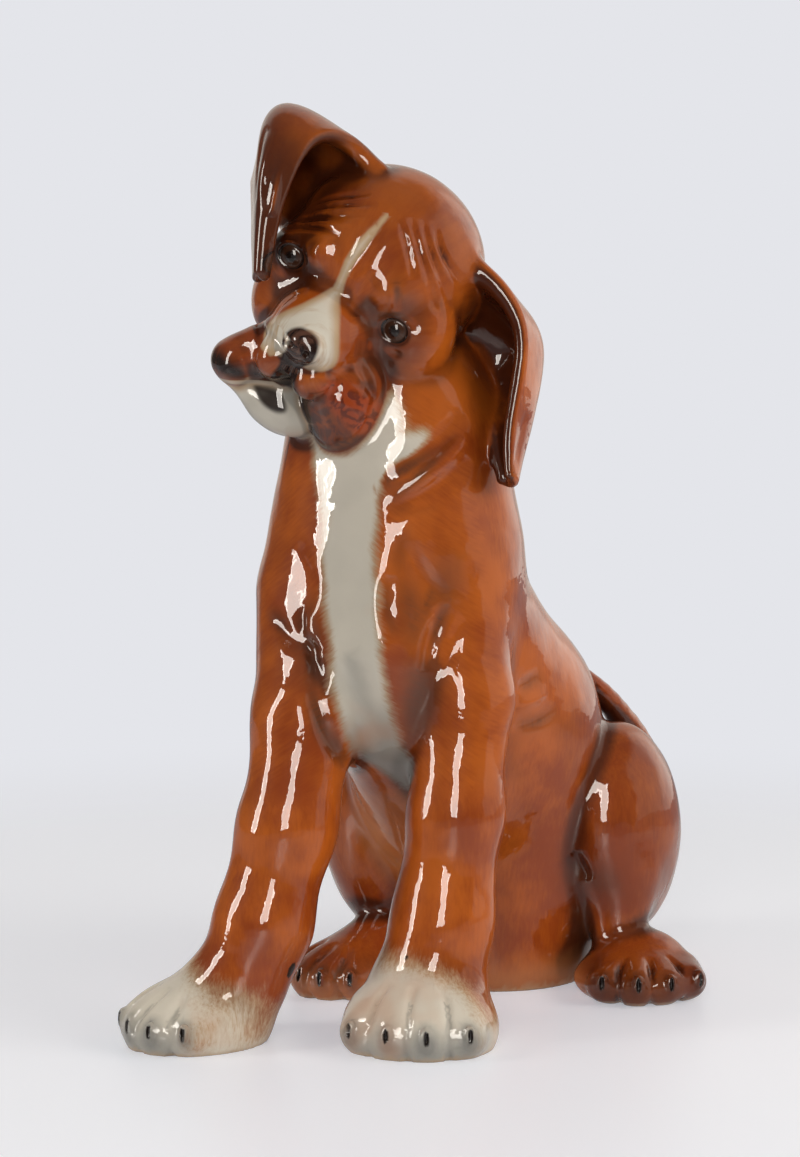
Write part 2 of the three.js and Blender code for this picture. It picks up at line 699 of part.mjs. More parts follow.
function groundBlock() {
  const size = reach.high.map((high, i) => high - reach.low[i] + 40);
  const box = new THREE.BoxGeometry(...size).toNonIndexed();
  box.translate(0, 40, -size[2] / 2);
  const corners = new Map();
  const positions = [];
  const spots = box.attributes.position;
  const order = [];
  for (let n = 0; n < spots.count; n += 1) {
    const spot = [spots.getX(n), spots.getY(n), spots.getZ(n)];
    const key = spot.join();
    if (!corners.has(key)) {
      corners.set(key, positions.length);
      positions.push(spot);
    }
    order.push(corners.get(key));
  }
  const faces = [];
  for (let n = 0; n < order.length; n += 3) faces.push(order.slice(n, n + 3));
  return solidOf({ positions, faces });
}

function geometryOf(solid) {
  const mesh = solid.getMesh();
  const geometry = new THREE.BufferGeometry();
  const spots = new Float32Array(mesh.numVert * 3);
  for (let n = 0; n < mesh.numVert; n += 1) {
    for (let k = 0; k < 3; k += 1) spots[3 * n + k] = mesh.vertProperties[mesh.numProp * n + k];
  }
  geometry.setAttribute('position', new THREE.BufferAttribute(spots, 3));
  geometry.setIndex(new THREE.BufferAttribute(new Uint32Array(mesh.triVerts), 1));
  return geometry;
}

// The puppy, with the middle of its outline over the origin

const skin = thin(skinOf(puppyField()));
const geometry = geometryOf(solidOf(skin).subtract(groundBlock()));
geometry.computeBoundingBox();
const middle = geometry.boundingBox.getCenter(new THREE.Vector3());
geometry.translate(-middle.x, -middle.y, 0);
geometry.computeVertexNormals();

const puppy = new THREE.Mesh(geometry, new THREE.MeshStandardMaterial(glaze));
puppy.name = 'puppy';

const group = new THREE.Group();
group.add(puppy);

export default group;
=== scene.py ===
import math

import bmesh
import bpy
import numpy as np
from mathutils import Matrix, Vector


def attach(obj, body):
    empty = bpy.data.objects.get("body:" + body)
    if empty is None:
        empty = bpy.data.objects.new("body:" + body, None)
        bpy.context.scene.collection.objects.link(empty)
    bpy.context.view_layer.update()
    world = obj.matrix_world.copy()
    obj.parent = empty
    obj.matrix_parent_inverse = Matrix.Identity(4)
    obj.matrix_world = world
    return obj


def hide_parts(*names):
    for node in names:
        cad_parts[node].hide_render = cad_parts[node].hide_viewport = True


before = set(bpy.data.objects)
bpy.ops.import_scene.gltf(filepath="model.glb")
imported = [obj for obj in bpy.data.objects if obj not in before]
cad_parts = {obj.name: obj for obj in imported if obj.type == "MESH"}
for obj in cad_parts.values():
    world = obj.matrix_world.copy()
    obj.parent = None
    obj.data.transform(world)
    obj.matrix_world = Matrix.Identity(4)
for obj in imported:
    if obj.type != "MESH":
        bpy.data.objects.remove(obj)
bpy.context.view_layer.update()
print("frame loaded")

# The puppy is modelled in millimetres as a distance field: it faces -Y, its left is +X.
# Eggs and tapering limbs are blended, and the fine skin is taken from where the field is zero.
puppySize = {
    "centring": (-15.52, -38.59, 0.0),  # puts the middle of its outline over the origin
    "voxel": 1.4,
    "triangles": 190000,
    "face": ((-56, -999, -100), (56, -36, 30)),  # the part with finer faces, in the head's frame
    "faceThinning": 0.4,  # how much less the face is thinned than the rest
    "reach": ((-128, -146, -4), (160, 222, 508)),
    "waves": [(11.0, (0.4, 1.0, 0.2), 0.45), (5.2, (1.3, 0.1, 2.0), 0.16)],  # length, start, height
    "foldDepth": 1.5,  # deepens all the folds of the body
}


# Two fields as one, with a fillet about as wide as soft
def join(a, b, soft):
    h = np.maximum(soft - np.abs(a - b), 0) / soft
    return np.minimum(a, b) - h * h * h * soft / 6


def carve(a, b, soft):
    return -join(-a, b, soft)


def turned(axis, angle):
    c, s = math.cos(math.radians(angle)), math.sin(math.radians(angle))
    return np.array({"x": [[1, 0, 0], [0, c, -s], [0, s, c]],
                     "y": [[c, 0, s], [0, 1, 0], [-s, 0, c]],
                     "z": [[c, -s, 0], [s, c, 0], [0, 0, 1]]}[axis])


def length(v):
    return np.sqrt(np.einsum("ij,ij->i", v, v))


def egg(p, middle, radii, lean=0):
    q = p - np.array(middle, float)
    if lean:
        q = q @ turned("x", lean)
    r = np.array(radii, float)
    near = length(q / r)
    slope = length(q / (r * r))
    return near * (near - 1) / np.maximum(slope, 1e-6)


# Distance to a cone between two balls
def cone(p, a, b, ra, rb):
    a, b = np.array(a, float), np.array(b, float)
    axis = b - a
    l2 = axis @ axis
    taper = ra - rb
    slant2 = l2 - taper * taper
    pa = p - a
    along = pa @ axis
    past = along - l2
    away = pa * l2 - along[:, None] * axis
    away2 = np.einsum("ij,ij->i", away, away)
    start2, end2 = along * along * l2, past * past * l2
    side = np.sign(taper) * taper * taper * away2
    d = (np.sqrt(away2 * slant2 / l2) + along * taper) / l2 - ra
    d = np.where(np.sign(past) * slant2 * end2 > side, np.sqrt(away2 + end2) / l2 - rb, d)
    return np.where(np.sign(along) * slant2 * start2 < side, np.sqrt(away2 + start2) / l2 - ra, d)


def limb(p, points, radii, soft=1.0):
    d = None
    for n in range(len(points) - 1):
        part = cone(p, points[n], points[n + 1], radii[n], radii[n + 1])
        d = part if d is None else join(d, part, soft)
    return d


def sidesOf(row):
    return (1, -1) if row.get("both") else (1,)


# Rows of eggs and limbs blended in turn; "both" adds the mirrored one, "cut" takes it away
def masses(p, rows):
    d = None
    for row in rows:
        for side in sidesOf(row):
            mirror = lambda v: (side * v[0], v[1], v[2])
            if "egg" in row:
                part = egg(p, mirror(row["egg"]), row["radii"], row.get("lean", 0))
            else:
                part = limb(p, [mirror(v) for v in row["limb"]], row["radii"], row.get("soft", 10))
            if d is None:
                d = part
            elif row.get("cut"):
                d = carve(d, part, row["soft"])
            else:
                d = join(d, part, row["soft"])
    return d


# A ridge, or a furrow where height is under 0, along a curve through three points
def fold(p, path, width, height):
    path = np.array(path, float)
    out = np.zeros(len(p))
    low, high = path.min(0) - 3 * width, path.max(0) + 3 * width
    mask = np.all((p > low) & (p < high), axis=1)
    if not mask.any():
        return out
    q = p[mask]
    t = np.linspace(0, 1, 11)[:, None]
    bend = 2 * path[1] - (path[0] + path[2]) / 2
    curve = (1 - t) ** 2 * path[0] + 2 * t * (1 - t) * bend + t * t * path[2]
    near, where = np.full(len(q), 1e9), np.zeros(len(q))
    for n in range(10):
        step = curve[n + 1] - curve[n]
        s = np.clip((q - curve[n]) @ step / (step @ step), 0, 1)
        away = ((q - curve[n] - s[:, None] * step) ** 2).sum(1)
        closer = away < near
        near[closer] = away[closer]
        where[closer] = (n + s[closer]) / 10
    out[mask] = height * np.sin(np.pi * np.clip(where, 0, 1)) ** 0.7 * np.exp(-near / width ** 2)
    return out


# An ear is a smooth leaf over a cage of rows, each a section from the back edge to the rim
class Leaf:
    def __init__(self, rows, bow):
        across = np.linspace(-0.5, 0.5, len(bow))
        cage = np.array([[np.array(m) + np.array(s) * a + np.array(b) * k
                          for a, k in zip(across, bow)] for m, s, b in rows], float)
        for axis in (0, 1):
            cage = np.moveaxis(cage, axis, 0)
            cage = np.concatenate([2 * cage[:1] - cage[1:2], cage, 2 * cage[-1:] - cage[-2:-1]])
            cage = np.moveaxis(cage, 0, axis)
        self.cage = cage
        self.long, self.wide = cage.shape[0] - 3, cage.shape[1] - 3
        u, v = np.meshgrid(np.linspace(0, self.long, 3 * self.long + 1),
                           np.linspace(0, self.wide, 3 * self.wide + 1), indexing="ij")
        self.seedU, self.seedV = u.ravel(), v.ravel()
        self.seeds = self.at(self.seedU, self.seedV)[0]

    def at(self, u, v):
        i = np.clip(np.floor(u).astype(int), 0, self.long - 1)
        j = np.clip(np.floor(v).astype(int), 0, self.wide - 1)
        weights = []
        for t in (u - i, v - j):
            value = np.stack([(1 - t) ** 3, 3 * t ** 3 - 6 * t * t + 4,
                              -3 * t ** 3 + 3 * t * t + 3 * t + 1, t ** 3], -1) / 6
            slope = np.stack([-(1 - t) ** 2, 3 * t * t - 4 * t, -3 * t * t + 2 * t + 1, t * t], -1) / 2
            weights.append((value, slope))
        (bu, du), (bv, dv) = weights
        point, alongU, alongV = (np.zeros((len(u), 3)) for _ in range(3))
        for a in range(4):
            for b in range(4):
                knot = self.cage[i + a, j + b]
                point += (bu[:, a] * bv[:, b])[:, None] * knot
                alongU += (du[:, a] * bv[:, b])[:, None] * knot
                alongV += (bu[:, a] * dv[:, b])[:, None] * knot
        return point, alongU, alongV

    def nearest(self, q):
        away = (q ** 2).sum(1)[:, None] - 2 * q @ self.seeds.T + (self.seeds ** 2).sum(1)[None]
        pick = away.argmin(1)
        u, v = self.seedU[pick].copy(), self.seedV[pick].copy()
        for _ in range(6):
            point, pu, pv = self.at(u, v)
            gap = q - point
            uu, uv, vv = (pu * pu).sum(1), (pu * pv).sum(1), (pv * pv).sum(1)
            damp = 0.04 * (uu + vv) + 0.5
            uu, vv = uu + damp, vv + damp
            gu, gv = (gap * pu).sum(1), (gap * pv).sum(1)
            area = uu * vv - uv * uv
            u = np.clip(u + (vv * gu - uv * gv) / area, 0, self.long)
            v = np.clip(v + (uu * gv - uv * gu) / area, 0, self.wide)
        return length(q - self.at(u, v)[0]), u / self.long, v / self.wide

    def distance(self, p, tip, root, reach=40):
        low, high = self.seeds.min(0), self.seeds.max(0)
        out = length(np.maximum(np.maximum(low - p, p - high), 0))
        mask = out < reach
        if mask.any():
            d, u, v = self.nearest(p[mask])
            out[mask] = d - tip - (root - tip) * (1 - u) ** 2
        return out


# Trunk, legs and tail
body = {
    "trunk": [
        {"limb": [(14, 138, 70), (11, 96, 150), (-3, 20, 224)], "radii": [74, 69, 64], "soft": 24},
        {"egg": (14, 122, 30), "radii": (62, 64, 76), "soft": 20},
        {"limb": [(-4, 72, 122), (12, 108, 60)], "radii": [50, 52], "soft": 20},
        {"egg": (-4, -16, 205), "radii": (44, 50, 60), "soft": 26},
        {"limb": [(-2, -10, 165), (6, 50, 120)], "radii": [32, 44], "soft": 24},
        {"limb": [(-5, 12, 262), (-4, 14, 316)], "radii": [67, 57], "soft": 30},
        {"limb": [(-4, 14, 316), (-6, 14, 345)], "radii": [50, 44], "soft": 20},
        {"limb": [(-38, -2, 246), (-22, 4, 310)], "radii": [36, 42], "soft": 24},
    ],
    "legs": [
        {"masses": [{"limb": [(28, 2, 236), (42, -16, 180), (43, -31, 120), (38, -38, 62), (34, -42, 36)],
                     "radii": [32, 25.5, 24.5, 26, 28], "soft": 16}],
         "ankle": 18, "hip": 16,
         "paw": {"at": (34, -62), "heading": 12, "toesTo": -3, "size": (84, 78, 38)}},
        {"masses": [{"limb": [(-42, -14, 232), (-34, -54, 170), (-38, -71, 115), (-48, -80, 64),
                              (-56, -86, 38)],
                     "radii": [34, 27, 25, 25, 24], "soft": 16}],
         "ankle": 22, "hip": 16,
         "paw": {"at": (-81, -98), "heading": -50, "toesTo": 24, "size": (66, 78, 35)}},
        {"masses": [{"egg": (86, 134, 86), "radii": (36, 51, 64), "lean": 10},
                    {"limb": [(94, 112, 66), (95, 106, 32)], "radii": [21, 15], "soft": 12}],
         "ankle": 10, "hip": 12,
         "paw": {"at": (112, 90), "heading": 14, "toesTo": 16, "size": (74, 72, 26)}},
        {"masses": [{"egg": (-40, 92, 90), "radii": (36, 56, 62), "lean": 20},
                    {"limb": [(-38, 78, 54), (-26, 80, 28)], "radii": [19, 15], "soft": 16}],
         "ankle": 14, "hip": 12,
         "paw": {"at": (-44, 46), "heading": -40, "toesTo": 18, "size": (58, 80, 32)}},
    ],
    "tail": {"path": [(44, 196, 38), (77, 198, 70), (86, 192, 108), (83, 177, 135), (75.5, 153, 158),
                      (65, 139, 174)],
             "radii": [17, 14.5, 12.2, 9.2, 7, 4.8], "pieces": 3},
    "folds": [  # path, width, height
        ([(42, -16, 333), (34, -29, 320), (16, -44, 302)], 5, -3.0),  # neck
        ([(45, -17, 322), (36, -32, 308), (12, -48, 290)], 5, 2.4),
        ([(46, -20, 311), (36, -34, 296), (10, -50, 280)], 5, -2.6),
        ([(-3, -66, 205), (1, -62, 183), (8, -44, 155)], 8, -2.6),  # breastbone
        ([(42, -37, 232), (34, -44, 215), (31, -47, 198)], 4.5, -2.4),  # shoulders
        ([(35, -42, 228), (27, -48, 214), (26, -50, 198)], 4.5, 1.8),
        ([(50, -32, 226), (44, -38, 212), (42, -42, 200)], 4, -1.8),
        ([(-37, -55, 229), (-27, -63, 209), (-17, -72, 184)], 4.5, -2.2),
        ([(-26, -56, 235), (-30, -62, 214), (-33, -70, 197)], 4.5, 1.6),
        ([(60, 22, 182), (65, 29, 184), (69, 39, 188)], 3.4, -2.0),  # left elbow
        ([(58, 26, 162), (66, 37, 161), (76, 53, 168)], 3.8, -2.2),
        ([(60, 24, 172), (65, 33, 173), (72, 46, 178)], 3.6, 1.6),
        ([(74, 84, 80), (79, 87, 71), (83, 88, 64)], 4.2, -1.5),  # flank
        ([(-30, -54, 264), (-26, -62, 228), (-16, -70, 186)], 9, 1.8),  # edges of the breast
        ([(8, -50, 270), (11, -58, 235), (15, -56, 196)], 9, 1.8),
        ([(26, -46, 266), (31, -47, 234), (33, -46, 205)], 8, -1.6),
        ([(-44, -46, 262), (-34, -56, 246), (-30, -62, 226)], 5, -2.0),  # hollows of the right shoulder
        ([(-58, -30, 236), (-48, -46, 222), (-40, -58, 206)], 5, -1.8),
        ([(24, -50, 268), (30, -46, 250), (40, -36, 236)], 5, -1.6),  # and of the left one
        ([(15, -56, 249), (15, -60, 232), (21, -58, 216)], 4.5, -2.2),
        ([(-26, -67, 202), (-16, -76, 172), (-10, -58, 148)], 5, -2.4),
        ([(-60, -47, 228), (-37, -62, 214), (-21, -66, 206)], 4.5, -1.8),
        ([(-56, -52, 216), (-40, -64, 203), (-26, -69, 192)], 4.5, 1.6),
    ],
}
pawShape = {"toes": 4, "lift": 10, "toe": 0.135, "nailRadii": (3.3, 2.8, 5.6), "slitRadii": (1.2, 2.6, 4.2),
            "crease": 2.4, "creaseWidth": 2.2}


# A smooth curve through the points of a path, in pieces between each two
def smoothPath(path, radii, pieces):
    ends = np.array([2 * np.array(path[0]) - path[1], *path,
                     2 * np.array(path[-1]) - path[-2]], float)
    spots, widths = [], []
    for n in range(len(path) - 1):
        a, b, c, d = ends[n:n + 4]
        for k in range(pieces):
            t = k / pieces
            u, v = (c - a) / 2, (d - b) / 2
            spots.append((2 * b - 2 * c + u + v) * t ** 3 + (3 * c - 3 * b - 2 * u - v) * t * t + u * t + b)
            widths.append(radii[n] + (radii[n + 1] - radii[n]) * t)
    return spots + [ends[-2]], widths + [radii[-1]]


def toPaw(p, paw):
    return (p - np.array([*paw["at"], 0.0])) @ turned("z", paw["heading"])


# The tips of the toes on an arc, and how far each lies across, from -1 to 1
def toeSpots(paw):
    w, l, _ = paw["size"]
    c, s = math.cos(math.radians(paw["toesTo"])), math.sin(math.radians(paw["toesTo"]))
    for n in range(pawShape["toes"]):
        across = 2 * n / (pawShape["toes"] - 1) - 1
        x, y = across * w * 0.33, (across * across * 0.12 - 0.36) * l
        yield x * c - y * s, x * s + y * c, across


def nailSpots(paw):
    for x, y, across in toeSpots(paw):
        turn = 22 * across + paw["toesTo"]
        out = pawShape["toe"] * paw["size"][0] * 0.93
        yield (x + out * math.sin(math.radians(turn)), y - 1 - out * math.cos(math.radians(turn)),
               pawShape["lift"] + 3.5), turn


def pawField(p, paw):
    w, l, h = paw["size"]
    q = toPaw(p, paw)
    d = egg(q, (0, 0, pawShape["lift"]), (w / 2, l / 2, h - pawShape["lift"]))
    d = join(d, egg(q, (0, l * 0.2, h * 0.5), (w * 0.36, l * 0.34, h * 0.85)), 16)
    tips = list(toeSpots(paw))
    for x, y, _ in tips:
        tip = (x, y - 1, pawShape["lift"] + 1)
        toe = cone(q, (x * 0.86, y + l * 0.2, h * 0.5), tip, w * 0.14, w * pawShape["toe"])
        d = join(d, toe, 6)
    near = d < 12  # mm, where the small forms can reach
    if near.any():
        part, spots = d[near], q[near]
        flat = spots * np.array([1, 1, 0])
        for one, two in zip(tips, tips[1:]):
            x, y = (one[0] + two[0]) / 2, (one[1] + two[1]) / 2
            path = [(x * 1.1, y * 1.5, 0), (x, y, 0), (x * 0.7, y * 0.6, 0)]
            part -= fold(flat, path, pawShape["creaseWidth"], -pawShape["crease"])
        for spot, turn in nailSpots(paw):
            r = (spots - np.array(spot)) @ turned("z", turn)
            part = join(part, egg(r, (0, 0, 0), pawShape["nailRadii"]), 2.0)
            part = carve(part, egg(r, (0, -2.8, 0.2), pawShape["slitRadii"]), 0.8)
        d[near] = part
    return d


# Head, in its own frame: +X its left, -Y out of the face, +Z the crown
head = {
    "at": (-14, -7, 409),
    "turn": turned("z", 4) @ turned("x", 11) @ turned("y", 32),
    "skull": ((0, -2, 2), 55.0),  # the ball that the wrinkles are drawn on
    "brow": (30, 85, 18),  # mm from its middle, and how far back the wrinkles reach
    "masses": [
        {"egg": (3, 9, 5), "radii": (55, 56, 53)},
        {"egg": (0, -22, 8), "radii": (40, 30, 34), "soft": 20},
        {"egg": (27, -8, -28), "radii": (25, 34, 30), "soft": 16, "both": True},
        {"egg": (19, -41, 9), "radii": (11, 12, 11), "soft": 7, "both": True},
        {"egg": (31, -25, -7), "radii": (20, 18, 22), "soft": 10, "both": True},
        {"egg": (46, -8, -39), "radii": (23, 32, 27), "soft": 12},
        {"egg": (-28, 8, -36), "radii": (22, 30, 26), "soft": 14},
        {"egg": (0, -46, -28), "radii": (27, 36, 24), "soft": 14},
        {"limb": [(0, -12, -54), (0, -42, -70)], "radii": [28, 19], "soft": 12},
        {"egg": (25, -47, -50), "radii": (21, 24, 24), "soft": 9, "lip": True},
        {"limb": [(-13, -51, -47), (-35, -50, -67)], "radii": [19, 11.5], "soft": 9, "lip": True},
        {"egg": (43, -20, -13), "radii": (19, 24, 26), "soft": 10},
        {"egg": (11, -66, -45), "radii": (12, 14, 13), "soft": 5, "both": True, "lip": True},
        {"egg": (32, -50, -60), "radii": (17, 17, 20), "soft": 8, "lip": True},
        {"egg": (-30, -54, -64), "radii": (11.5, 14, 12.5), "soft": 8, "lip": True},
        {"egg": (0, -46, -74), "radii": (23, 20, 16), "soft": 5},
        {"limb": [(-8, -48, -74), (-30, -50, -72)], "radii": [13, 7.5], "soft": 6},
        {"egg": (0, -79, -28), "radii": (10.5, 8, 9), "soft": 6},
        {"egg": (5.5, -82.5, -29), "radii": (5, 5, 5.5), "soft": 3, "both": True},
        {"egg": (5, -89, -29.5), "radii": (2.0, 4.6, 2.0), "soft": 1.4, "both": True, "cut": True},
        {"limb": [(5.4, -88, -30), (9.5, -85.5, -33)], "radii": [1.3, 0.7], "soft": 1.4,
         "both": True, "cut": True},
        {"egg": (33, -49, -7.5), "radii": (10, 7.5, 8.4), "soft": 3.5, "cut": True},
        {"egg": (33, -36.6, -7.5), "radii": (8.3, 8.3, 7.8), "soft": 1},
        {"egg": (-34.5, -48, -3), "radii": (10, 7.5, 8.4), "soft": 3.5, "cut": True},
        {"egg": (-34.5, -35.6, -3), "radii": (8.3, 8.3, 7.8), "soft": 1},
    ],
    "eyes": {"left": (33, -44.2, -7.5), "right": (-34.5, -43.2, -3),
             "lid": (8.5, 7.2), "round": 30.0, "edge": 0.95, "turns": 16},
    "wrinkles": [  # furrows of the forehead, seen from the front
        ((6, 45), (17, 37), (29, 22)), ((10, 48), (25, 36), (46, 9)), ((16, 49), (31, 36), (51, 11)),
        ((22, 49), (37, 36), (54, 15)), ((-48, 2), (-36, 16), (-17, 23)), ((-49, 7), (-37, 21), (-12, 33)),
        ((-47, 12), (-31, 27), (-8, 39)), ((-46, 17), (-31, 33), (-9, 45)), ((-45, 23), (-30, 39), (-16, 47)),
    ],
    "wrinkle": {"width": 2.5, "height": -2.2},
    "parting": ([(0, 8), (0, 28), (0, 48)], 4.5, -2.4),  # the furrow up the middle of the forehead
    "folds": [
        ([(0, -92, -38), (0, -88, -46), (0, -80, -56)], 2.5, -2.4),  # between the lip pads
        ([(24, -52, 18), (27, -50, 10), (31, -47, 3)], 2.6, -2.0),  # beside the brow bumps
        ([(-24, -52, 20), (-27, -50, 14), (-31, -47, 7)], 2.6, -2.0),
        ([(9, -56, 12), (9, -56, 4), (13, -56, -8)], 3.0, -1.4),
        ([(22, -60, -14), (31, -60, -28), (43, -55, -42)], 3.0, -2.0),  # beside the muzzle
        ([(-19, -56, -6), (-24, -60, -18), (-25, -66, -32)], 3.0, -1.8),
        ([(16, -74, -37), (28, -67, -35), (42, -57, -39)], 2.6, -1.4),  # over the left lip
        ([(-36, -44, -41), (-23, -68, -43), (-27, -70, -59)], 2.8, -3.2),  # round the right lip
        ([(24, -50, -16), (34, -48, -19.5), (44, -40, -15)], 2.2, -1.4),  # bags under the eyes
        ([(-25, -50, -11), (-35, -48, -15), (-45, -40, -11)], 2.2, -1.4),
        ([(22, -52, -3), (33, -50, 3.5), (44, -41, -1)], 1.8, -1.2),  # lids
        ([(-23, -52, 1), (-34, -50, 8), (-45, -41, 3)], 1.8, -1.2),
        ([(24, -72, -50), (34, -70, -48), (43, -62, -52)], 3.0, 1.2),  # wrinkles of the left lip
        ([(22, -72, -58), (33, -72, -58), (44, -64, -62)], 3.0, -1.2),
        ([(-18, -64, -76), (-4, -66, -78), (10, -64, -80)], 3.0, -1.4),  # chin
    ],
}


def toHead(p):
    return (p - np.array(head["at"], float)) @ head["turn"]


def onSkull(path):
    (mx, my, mz), r = head["skull"]
    return [(x, my - math.sqrt(max(r * r - (x - mx) ** 2 - (z - mz) ** 2, 1)), z) for x, z in path]


def lidRing(middle):
    (wide, high), bow, turns = (head["eyes"][name] for name in ("lid", "round", "turns"))
    ring = []
    for n in range(turns + 1):
        angle = 2 * math.pi * n / turns
        x, z = wide * math.cos(angle), high * math.sin(angle)
        ring.append((middle[0] + x, middle[1] + (x * x + z * z) / bow, middle[2] + z))
    return ring


def headField(p):
    q = toHead(p)
    d = masses(q, head["masses"])
    near = np.abs(d) < 14
    if not near.any():
        return d
    part, spots = d[near], q[near]
    for side in ("left", "right"):
        middle = np.array(head["eyes"][side])
        close = length(spots - middle) < 24
        if close.any():
            ring = lidRing(middle)
            lids = limb(spots[close], ring, [head["eyes"]["edge"]] * len(ring), 0.5)
            part[close] = join(part[close], lids, 2.4)
    for path, width, height in head["folds"]:
        part -= fold(spots, path, width, height)
    middle, r = np.array(head["skull"][0], float), head["skull"][1]
    gap = spots - middle
    away = length(gap)
    nearest, farthest, back = head["brow"]
    brow = (away > nearest) & (away < farthest) & (gap[:, 1] < back)
    if brow.any():
        on = middle + gap[brow] * (r / away[brow])[:, None]
        path, width, height = head["parting"]
        relief = fold(on, onSkull(path), width, height)
        for path in head["wrinkles"]:
            relief += fold(on, onSkull(path), **head["wrinkle"])
        part[brow] -= relief
    d[near] = part
    return d


ears = {
    "thick": {"tip": 3.4, "root": 6.0},  # half of the wall
    "left": Leaf([  # middle, width and bow of each row from the root to the tip
        ((35, 11, 380), (11, -30, 64), (-2, 19, 2)), ((48, 13, 374), (18, -36, 56), (5, 26, 2)),
        ((60, 11, 360), (25, -29, 40), (10, 23, 7)), ((62, -2, 339), (17, -13, 25), (7, 20, -3)),
        ((62, -11, 317), (9, -10, 10), (6, 13, -5)), ((66, -15, 300), (7, -8, 3), (2, 4, -3)),
    ], (0, 0.8, 1, 0.8, 0)),
    "right": Leaf([
        ((-30, -24, 449), (44, 9, 28), (-14, 18, 12)), ((-46, -20, 461), (51, -5, 34), (-12, 20, 24)),
        ((-52, -33, 472), (43, -21, 21), (-12, 12, 28)), ((-51, -51, 460), (30, -19, 19), (-3, -8, 24)),
        ((-51, -66, 433), (15, -15, 13), (2, -9, 10)), ((-51, -73, 406), (5, -4, 1), (1, -4, 3)),
    ], (0, 0.45, 1, 0.8, 0)),
    "folds": [
        ([(-53, -56, 484), (-59, -60, 464), (-55, -71, 443)], 4.5, -2.6),  # gutter of the right ear
        ([(-47, -60, 482), (-49, -70, 464), (-50, -74, 446)], 3.4, 2.0),
        ([(-44, -64, 476), (-46, -74, 456), (-46, -78, 440)], 2.6, -1.2),
        ([(-41, -67, 470), (-42, -76, 448), (-43, -78, 436)], 3.0, 1.6),
        ([(73, -3, 334), (73, -13, 315), (71, -22, 301)], 3.2, -1.8),  # crease of the left ear
    ],
}
tailPath = smoothPath(**body["tail"])


def earsField(p):
    d = join(ears["left"].distance(p, **ears["thick"]), ears["right"].distance(p, **ears["thick"]), 1)
    near = d < 14
    if near.any():
        for path, width, height in ears["folds"]:
            d[near] -= fold(p[near], path, width, height)
    return d


def puppyField(p):
    d = masses(p, body["trunk"])
    for leg in body["legs"]:
        part = join(masses(p, leg["masses"]), pawField(p, leg["paw"]), leg["ankle"])
        d = join(d, part, leg["hip"])
    d = join(d, limb(p, *tailPath), 6)
    for path, width, height in body["folds"]:
        d -= fold(p, path, width, puppySize["foldDepth"] * height)
    face = join(headField(p), earsField(p), 10)
    d = join(d, face, 10)
    # the mould was modelled by hand, so no surface is quite even
    for size, (a, b, c), push in puppySize["waves"]:
        x, y, z = (p / size).T
        d += push * np.sin(x + a) * np.sin(0.8 * z + b + 0.6 * x) * np.cos(y + c)
    return np.maximum(d, -p[:, 2])


def inBatches(field, p, size=60000):
    return np.concatenate([field(p[n:n + size]) for n in range(0, len(p), size)])


# Samples the field on a grid, only where the surface can be near: blocks of 8 cells are
# passed over or halved, and the rest of the halves is sampled in full
def sampleGrid(field, low, high, step):
    size = np.ceil((high - low) / step / 8).astype(int) * 8
    values = np.full(size, 50.0, np.float32)
    corners = np.stack(np.meshgrid(*[np.arange(0, n, 8) for n in size], indexing="ij"), -1).reshape(-1, 3)
    for block in (8, 4):
        middles = low + (corners + (block - 1) / 2) * step
        d = inBatches(field, middles)
        for (i, j, k), v in zip(corners[d < 0], d[d < 0]):
            values[i:i + block, j:j + block, k:k + block] = v
        kept = corners[np.abs(d) < block * step * 1.15 + 2]
        if block == 8:
            halves = np.stack(np.meshgrid([0, 4], [0, 4], [0, 4], indexing="ij"), -1).reshape(-1, 3)
            corners = (kept[:, None] + halves[None]).reshape(-1, 3)
    cells = np.stack(np.meshgrid(*[np.arange(4)] * 3, indexing="ij"), -1).reshape(-1, 3)
    spots = (kept[:, None] + cells[None]).reshape(-1, 3)
    values[tuple(spots.T)] = inBatches(field, low + spots * step)
    return values


# One vertex in each cell that the surface crosses, one face round each crossed edge
def surfaceNet(values, low, step):
    inside = values < 0
    shape = np.array(values.shape) - 1
    corner = [(a, b, c) for a in (0, 1) for b in (0, 1) for c in (0, 1)]
    part = lambda a, b, c: (slice(a, a + shape[0]), slice(b, b + shape[1]), slice(c, c + shape[2]))
    count = sum(inside[part(*c)].astype(np.int8) for c in corner)
    cells = np.argwhere((count > 0) & (count < 8))
    number = np.full(shape, -1, np.int64)
    number[tuple(cells.T)] = np.arange(len(cells))
    total, hits = np.zeros((len(cells), 3)), np.zeros(len(cells))
    for a in corner:
        for axis in range(3):
            if a[axis]:
                continue
            b = tuple(v + (n == axis) for n, v in enumerate(a))
            va = values[tuple((cells + a).T)]
            vb = values[tuple((cells + b).T)]
            cross = (va < 0) != (vb < 0)
            t = np.where(cross, va / np.where(cross, va - vb, 1), 0)
            spot = np.array(a, float) + t[:, None] * np.eye(3)[axis]
            total += spot * cross[:, None]
            hits += cross
    points = low + (cells + total / hits[:, None]) * step
    quads = []
    for axis in range(3):
        one, two = [n for n in range(3) if n != axis]
        start = np.moveaxis(inside, axis, 0)
        crossed = np.argwhere(np.moveaxis(start[:-1] != start[1:], 0, axis))
        crossed = crossed[(crossed[:, one] > 0) & (crossed[:, two] > 0)]
        crossed = crossed[(crossed[:, one] < shape[one]) & (crossed[:, two] < shape[two])]
        around = []
        for da, db in ((-1, -1), (0, -1), (0, 0), (-1, 0)):
            cell = crossed.copy()
            cell[:, one] += da
            cell[:, two] += db
            around.append(number[tuple(cell.T)])
        quad = np.stack(around, -1)
        outward = inside[tuple(crossed.T)]
        if axis == 1:
            outward = ~outward
        quad[~outward] = quad[~outward][:, ::-1]
        quads.append(quad)
    return points, np.concatenate(quads)


